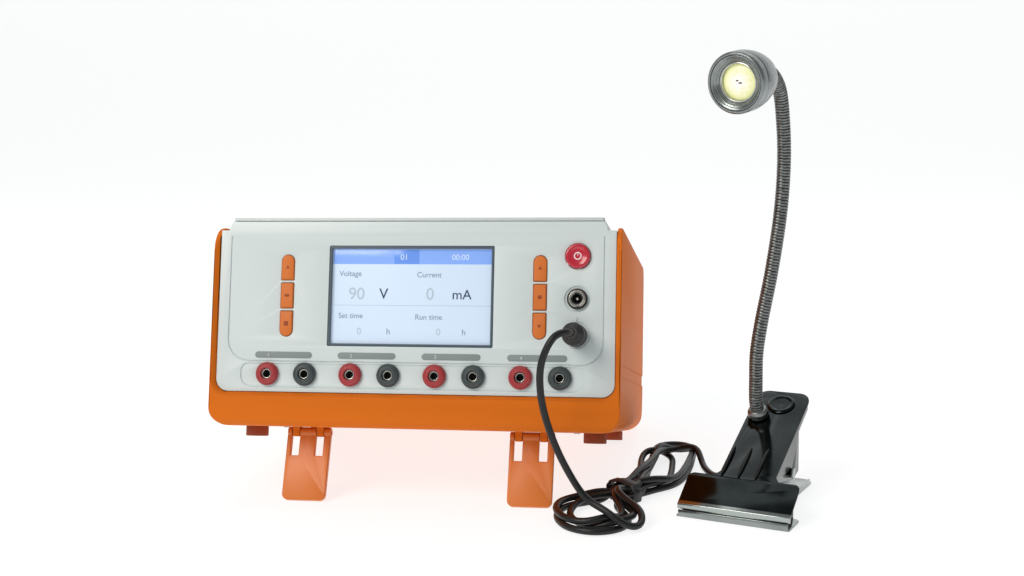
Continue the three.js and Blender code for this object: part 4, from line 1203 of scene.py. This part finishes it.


neck_middles = [nearest_on_neck(middle(f"neck_{i}")) for i in range(1, 6)]
cuts = [0, *neck_middles, len(neck_line) - 1]
HOSE_STANDS = [["neck_1"], ["neck_2"], ["neck_3"], ["neck_4"], ["neck_5"], []]
for i, (first, last) in enumerate(zip(cuts, cuts[1:])):
    part_line = bpy.data.meshes.new("line")
    stretch = neck_line[first : last + 1]
    part_line.from_pydata(stretch, [(k, k + 1) for k in range(len(stretch) - 1)], [])
    skin = grown(part_line, hose_tree, start=first * NECK_STEP * MM, coat=hose_steel)
    name = "hose_foot" if i == 0 else f"hose_length_{i}"
    if i == 0:
        piece(name, soften(skin, 60), hose_steel, "clip_jaw", ["neck_1"])
        continue
    skin.name = name
    made = bpy.data.objects.new(name, soften(skin, 60))
    scene.collection.objects.link(made)
    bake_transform(made)
    if HOSE_STANDS[i]:
        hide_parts(*HOSE_STANDS[i])

# ---------------------------------------------------------------- lamp head
# A turned aluminium cup with a concentric-cut face, a thin bright ring and a warm lit lens.
# Turned aluminium: grey, with fine tool rings that shine across their grooves.
head_place = (
    Matrix.Translation(HEAD_AT)
    @ HEAD_DIR.to_track_quat("Y", "Z").to_matrix().to_4x4()
    @ Matrix.Scale(MM, 4)
)


def turned_metal(name, base, dark, rings_per_mm, roughness):
    """Lathe-cut metal: rings about the lamp's axis, in its own polished colour."""
    made, tree, shader = new_material(name, Metallic=0.85)
    place = add(tree, "ShaderNodeTexCoord").outputs["Object"]
    centred = add(
        tree, "ShaderNodeVectorMath", {0: place, 1: tuple(HEAD_AT)}, operation="SUBTRACT"
    )
    along = add(
        tree, "ShaderNodeVectorMath", {0: centred.outputs[0], 1: tuple(HEAD_DIR)},
        operation="DOT_PRODUCT",
    )
    on_axis = add(
        tree, "ShaderNodeVectorMath", {0: tuple(HEAD_DIR), "Scale": along.outputs["Value"]},
        operation="SCALE",
    )
    outward = add(
        tree, "ShaderNodeVectorMath", {0: centred.outputs[0], 1: on_axis.outputs[0]},
        operation="SUBTRACT",
    )
    away = add(tree, "ShaderNodeVectorMath", {0: outward.outputs[0]}, operation="LENGTH")
    both = add(
        tree, "ShaderNodeMath", {0: away.outputs["Value"], 1: along.outputs["Value"]},
        operation="ADD",
    )
    waves = add(
        tree, "ShaderNodeMath",
        {0: both.outputs[0], 1: 2 * math.pi * rings_per_mm / MM}, operation="MULTIPLY",
    )
    cut_rings = add(tree, "ShaderNodeMath", {0: waves.outputs[0]}, operation="SINE")
    patches = add(tree, "ShaderNodeTexNoise", {"Vector": place, "Scale": 130.0, "Detail": 4.0})
    mixed = add(
        tree, "ShaderNodeMix",
        {"Factor": patches.outputs["Fac"], "A": colour(base), "B": colour(dark)},
        data_type="RGBA",
    )
    gloss = add(
        tree, "ShaderNodeMapRange",
        {"Value": patches.outputs["Fac"], "To Min": roughness - 0.07, "To Max": roughness + 0.07},
    )
    bump = add(
        tree, "ShaderNodeBump",
        {"Height": cut_rings.outputs[0], "Strength": 0.5, "Distance": 0.03 * MM},
    )
    tree.links.new(mixed.outputs["Result"], shader.inputs["Base Color"])
    tree.links.new(gloss.outputs[0], shader.inputs["Roughness"])
    tree.links.new(bump.outputs[0], shader.inputs["Normal"])
    return made


cup_metal = turned_metal("turned_aluminium", "#a4a9a8", "#6f7575", 1.6, 0.27)
face_metal = turned_metal("turned_aluminium_face", "#a9afae", "#666c6e", 1.2, 0.24)
ring_metal = turned_metal("polished_ring_metal", "#d6d8d6", "#aaacab", 2.5, 0.2)
CUP = [
    (0, -33), (0, -40.5), (5.6, -40.5), (6.5, -39.6), (6.5, -36), (8.6, -34.9), (10.8, -32.8),
    (13, -29.8), (14.9, -26.3), (16.4, -22), (17.4, -18.2), (18.1, -14.2), (18.5, -11),
    (18.5, -7.2), (18.1, -6.9), (18.1, -6.3), (18.5, -6), (18.5, -1), (17.5, 0), (16.5, 0),
    (16.5, -13.5), (10, -28),
]
piece(
    "lamp_cup", turned(CUP, head_place, 0.35, 96), cup_metal, "lamp_head",
    ["lamp_head"],
)
FACE = [
    (11.7, -8), (16.2, -8), (16.2, -0.35), (15.8, -0.3), (14.7, -0.9), (14.5, -1.3), (13.6, -1.8),
    (13.4, -2.3), (12.5, -3.1), (11.7, -4.3),
]
piece(
    "lamp_face_ring", turned(FACE, head_place, 0.2, 96), face_metal, "lamp_head",
    ["lamp_front_ring"],
)
BEZEL = [(10.7, -5.9), (10.8, -4.2), (11.4, -3.5), (11.9, -3.8), (12.0, -5.2), (11.8, -6.2)]
piece("lamp_bezel", turned(BEZEL, head_place, 0.15, 96), ring_metal, "lamp_head")

# Moulded lens: clear plastic lit from behind, pale in the middle and yellow-green at its rim,
# with small brighter flecks about 3 mm apart where its prisms catch the light.
lens_glow, tree, shader = new_material("moulded_lens_lit", Roughness=0.22, IOR=1.49)
place = add(tree, "ShaderNodeTexCoord").outputs["Object"]
centred = add(tree, "ShaderNodeVectorMath", {0: place, 1: tuple(HEAD_AT)}, operation="SUBTRACT")
reach = add(tree, "ShaderNodeVectorMath", {0: centred.outputs[0]}, operation="LENGTH")
zone = add(
    tree, "ShaderNodeMapRange",
    {"Value": reach.outputs["Value"], "From Min": 4.5 * MM, "From Max": 11.5 * MM},
)
chips = add(tree, "ShaderNodeTexVoronoi", {"Vector": place, "Scale": 330.0})
fleck = add(
    tree, "ShaderNodeMapRange",
    {"Value": chips.outputs["Distance"], "From Max": 0.35, "To Min": 0.6, "To Max": 0.0},
)
warm = add(
    tree, "ShaderNodeMix",
    {"Factor": zone.outputs[0], "A": colour("#efe6e0"), "B": colour("#dfe2a4")}, data_type="RGBA",
)
spotted = add(
    tree, "ShaderNodeMix",
    {"Factor": fleck.outputs[0], "A": warm.outputs["Result"], "B": colour("#d8cf7a")},
    data_type="RGBA",
)
for socket in ("Base Color", "Emission Color"):
    tree.links.new(spotted.outputs["Result"], shader.inputs[socket])
shader.inputs["Emission Strength"].default_value = 0.3
LENS = [(0, -9), (11, -9), (11, -6.4), (9, -5.4), (7.2, -4.8), (5, -4.4), (2.5, -4.2), (0, -4.1)]
lens_body = turned(LENS, head_place, 0.3, 80)
piece("lamp_lens_moulding", lens_body, lens_glow, "lamp_head", ["lamp_lens"])

# Two dark die marks show through the middle of the lens.
die_ink = grained("led_die_dark", "#4a4648", "#2c2a2c", 0.4, 0.01, 0.4)
for i, (x, z, half) in enumerate([(-0.6, 1.0, 0.8), (1.3, -0.4, 1.1)]):
    mark = rectangle(x - half, z - 0.4, x + half, z + 0.4, 0.25)
    facing_out = head_place @ Matrix.Rotation(math.pi, 4, "Z")
    piece(f"led_die_mark_{i + 1}", plate([mark], 3.95, 4.3, facing_out, 0.05), die_ink, "lamp_head")
led_disc = dressed("led_board", 0.2)
piece("led_board_disc", led_disc, board_green, "lamp_head", ["led_board"])

# ---------------------------------------------------------------- the lamp's lead
# A thin two-core lead in soft black PVC, sheathed smooth, tied in a loose hank on the bench.
# It runs from the nut under the gooseneck to a moulded plug in the instrument's lower jack.
CORD_D = 0.0044
EXIT_BELOW = 5.9
PLUG_AT = Vector((105.2, 60.3))
PLUG_BACK = -38.3
STRAIGHT_AT_LAMP, STRAIGHT_AT_PLUG = 6, 5

# PVC sheath: black with a soft sheen along its top, faintly uneven from the extruder.
cord_pvc = grained("extruded_pvc_black", "#0d0f10", "#070808", 1.6, 0.03, 0.42, IOR=1.45)

plug_back = case_place @ Vector((PLUG_AT.x, PLUG_BACK, PLUG_AT.y))
plug_out = (case_place.to_3x3() @ Vector((0, -1, 0))).normalized()
lamp_exit = foot_at - foot_normal * EXIT_BELOW * MM

# The hank is wound on the bench: each turn goes round a front bight and a back bight, and
# all of them pass through the tie. Places are in millimetres from the middle of the tie.
TIE_AT = Vector((72.5, -91.0))
BUNDLE = Vector((0.6, 0.8))
ACROSS = Vector((0.8, -0.6))
FRONT_BIGHT = [
    (-24, -13), (-35, -23), (-39, -37), (-36, -53), (-27, -66),
    (-14, -71), (-2, -67), (5, -57), (5.5, -44), (1.5, -32), (-3, -21),
]
BACK_BIGHT = [
    (19, 19), (30, 31), (37, 50), (40, 74), (41.5, 98), (41.5, 124),
    (37.4, 133.6), (28, 137.5), (18.6, 133.6), (14.5, 124), (13, 98), (12, 62), (10, 34),
]
FRONT_SIZES = [1.0, 0.88, 0.94]
FRONT_TURNS = [0, 5, -5]
BACK_SIZES = [1.0, 0.77, 0.86]
BACK_TURNS = [0, 3, -3]
GOING_SLOTS = [-4.5, -2.3, -6.8, 4.5]
COMING_SLOTS = [2.3, 6.8, 0.0]
TIE_REACH = 7
LOW = CORD_D / 2 + 0.0003
STEP = 0.0015


def on_bench(p):
    """A place on the bench, given from the tie, with the lead's middle just above the paper."""
    return Vector(((TIE_AT.x + p[0]) * MM, (TIE_AT.y + p[1]) * MM, LOW))


def through_tie(slot, forwards):
    """Three points through the tie in one slot, towards the back bight or the front one."""
    run = [-TIE_REACH, 0, TIE_REACH] if forwards else [TIE_REACH, 0, -TIE_REACH]
    return [on_bench(BUNDLE * along + ACROSS * slot) for along in run]


def bight(points, size, degrees):
    """One turn's bight: the outline scaled and turned a little, as no two turns lie alike."""
    turn = Matrix.Rotation(math.radians(degrees), 2)
    return [on_bench(turn @ (Vector(p) * size)) for p in points]


LAMP_DROP = [(158, -48, 30), (151, -48.5, 20), (142, -48, 11.5), (134, -43, 5)]
LAMP_BIGHT = [
    (56, 58), (51.5, 71), (47.7, 88), (43.4, 98.4), (33, 102.7),
    (22.6, 98.4), (18.3, 88), (15, 66), (11, 45),
]
lamp_run = [
    lamp_exit,
    lamp_exit - foot_normal * STRAIGHT_AT_LAMP * MM,
    *[Vector(p) * MM for p in LAMP_DROP],
    *[on_bench(p) for p in LAMP_BIGHT],
    *through_tie(GOING_SLOTS[0], False),
]
runs = [lamp_run]
for k in range(3):
    front = bight(FRONT_BIGHT, FRONT_SIZES[k], FRONT_TURNS[k])
    back = bight(BACK_BIGHT, BACK_SIZES[k], BACK_TURNS[k])
    runs.append([*front, *through_tie(COMING_SLOTS[k], True)])
    runs.append([*back, *through_tie(GOING_SLOTS[k + 1], False)])
PLUG_RUN = [
    (69.4, -106, 0), (71.2, -114.5, 0), (76.5, -123, 0), (83, -132, 0), (87, -142, 0),
    (85, -151, 1), (77.5, -156.5, 3.5), (68.5, -155.5, 7.5), (60, -151, 13), (52, -148.5, 20.5),
    (45.1, -148.5, 31), (36.0, -152, 51), (29.6, -156, 73),
    (27.8, -159, 88), (28.2, -160, 101), (31.6, -160, 112), (37.2, -157.5, 120.5),
]
runs.append(
    [
        *[Vector((x * MM, y * MM, max(z * MM, LOW))) for x, y, z in PLUG_RUN],
        plug_back + plug_out * STRAIGHT_AT_PLUG * MM,
        plug_back,
    ]
)
route = smooth_line([p for run in runs for p in run], STEP)

# Each run is laid down in turn and rides in a long low hump over what it crosses. Samples
# closer than BESIDE along the lead are its own next few millimetres, not a crossing.
BESIDE, HUMP, CALM = 8, 15, 9
hump_shape = np.hanning(HUMP)
marks = [0]
for run in runs:
    end = run[-1]
    nearest = min(range(marks[-1], len(route)), key=lambda i: (route[i] - end).length)
    marks.append(nearest)
marks[-1] = len(route)
laid = np.array(route)
done = []
order = [*range(1, len(runs) - 1), 0, len(runs) - 1]
for which in order:
    span = np.arange(marks[which], marks[which + 1])
    for _ in range(3):
        ground = laid[span, 2].copy()
        need = ground.copy()
        if done:
            others = np.concatenate(done)
            for n, i in enumerate(span):
                far = others[np.abs(others - i) > BESIDE]
                gap = np.hypot(*(laid[far, :2] - laid[i, :2]).T)
                close = gap < CORD_D
                if close.any():
                    lift = laid[far[close], 2] + np.sqrt(CORD_D**2 - gap[close] ** 2)
                    below = laid[far[close], 2] < laid[i, 2] + 3 * CORD_D
                    if below.any():
                        need[n] = max(need[n], lift[below].max())
        extra = need - ground
        wide = np.array([extra[max(0, n - 3) : n + 4].max() for n in range(len(extra))])
        pad = np.pad(wide, (HUMP - 3) // 2, mode="edge")
        soft = np.convolve(pad, hump_shape[1:-1] / hump_shape.sum(), mode="valid")
        laid[span, 2] = ground + np.maximum(extra, soft)
    done.append(span)
ground = np.array(route)[:, 2]
pad = np.pad(laid[:, 2] - ground, CALM // 2, mode="edge")
calm = ground + np.convolve(pad, np.ones(CALM) / CALM, mode="valid")
LEAD_STEP = 0.005
route = resampled([Vector((x, y, z)) for (x, y, _), z in zip(laid, calm)], LEAD_STEP)

lead_curve = bpy.data.curves.new("lamp_lead", "CURVE")
lead_curve.dimensions = "3D"
lead_curve.bevel_depth = CORD_D / 2
lead_curve.bevel_resolution = 5
lead_curve.resolution_u = 4
lead_curve.use_fill_caps = True
lead_line = lead_curve.splines.new("NURBS")
lead_line.points.add(len(route) - 1)
for point, place in zip(lead_line.points, route):
    point.co = (*place, 1)
lead_line.order_u = 4
lead_line.use_endpoint_u = True
lead_curve.materials.append(cord_pvc)
lead_mesh = plain_mesh(working(lead_curve))
lead_mesh.shade_smooth()
lamp_lead = bpy.data.objects.new("lamp_lead", lead_mesh)
scene.collection.objects.link(lamp_lead)
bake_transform(lamp_lead)
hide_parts("lead_to_plug", "lead_hank", "lead_to_lamp")

# The plug: a moulded body with grip ribs and a tapered strain relief, pushed fully home.
plug_place = case_place @ Matrix.Translation((PLUG_AT.x, 0, PLUG_AT.y))
# Moulded PVC: softer and duller than the sheath, with rounded grip ribs.
plug_rubber = grained("moulded_pvc_black", "#191b1d", "#0d0f10", 0.9, 0.05, 0.5, IOR=1.53)
PLUG_BODY = [
    (2.3, -38), (2.9, -37.6), (3.1, -33), (3.6, -28), (5.2, -26), (6.9, -24),
    (7.2, -22), (7.2, -19.5), (6.7, -19), (6.7, -18), (7.2, -17.5), (7.2, -16), (6.7, -15.5),
    (6.7, -14.5), (7.2, -14), (7.2, -12.5), (6.7, -12), (6.7, -11), (7.2, -10.5), (7.3, -6),
    (6.6, -3.3), (2.8, -3.1), (0, -3.1), (0, -36), (2.3, -36),
]
plug = piece(
    "lamp_plug_body", turned(PLUG_BODY, plug_place, 0.3), plug_rubber, "base",
    ["lamp_plug"],
)

# The tie: a soft black strap wrapped once round the bundle, bunched where it is pulled tight.
TIE_WIDE = 6.5
tie_middle = np.mean([tuple(p) for p in route if (p.xy / MM - TIE_AT).length < TIE_REACH], axis=0)
tie_place = (
    Matrix.Translation(Vector(tie_middle))
    @ Matrix.Rotation(math.atan2(BUNDLE.y, BUNDLE.x) - math.pi / 2, 4, "Z")
    @ Matrix.Scale(MM, 4)
)


def tie_band():
    """A flat strap bent round the bundle and pressed level where it lies on the bench."""
    half_w, half_h, thick, squareness = 11.2, 6.4, 1.3, 0.7
    floor = -tie_middle[2] / MM + 0.2
    section = [
        (0, -0.5), (0, 0.5), (0.4, 0.62), (thick, 0.5), (thick, -0.5), (0.4, -0.62),
    ]
    work = bmesh.new()
    rings = []
    for k in range(64):
        a = 2 * math.pi * k / 64
        ring = []
        for grow, y in section:
            reach = grow + 0.25 * math.sin(9 * a)
            x = math.copysign(abs(math.cos(a)) ** squareness, math.cos(a)) * (half_w + reach)
            z = math.copysign(abs(math.sin(a)) ** squareness, math.sin(a)) * (half_h + reach)
            ring.append(work.verts.new((x, y * TIE_WIDE, max(z, floor + thick - grow))))
        rings.append(ring)
    for a, b in zip(rings, rings[1:] + rings[:1]):
        for k in range(6):
            n = (k + 1) % 6
            work.faces.new((a[k], a[n], b[n], b[k]))
    mesh = bpy.data.meshes.new("tie")
    work.to_mesh(mesh)
    work.free()
    mesh.transform(tie_place)
    return soften(mesh, 50)


tie_strap = piece("lead_tie_strap", tie_band(), plug_rubber, "base", ["lead_tie"])
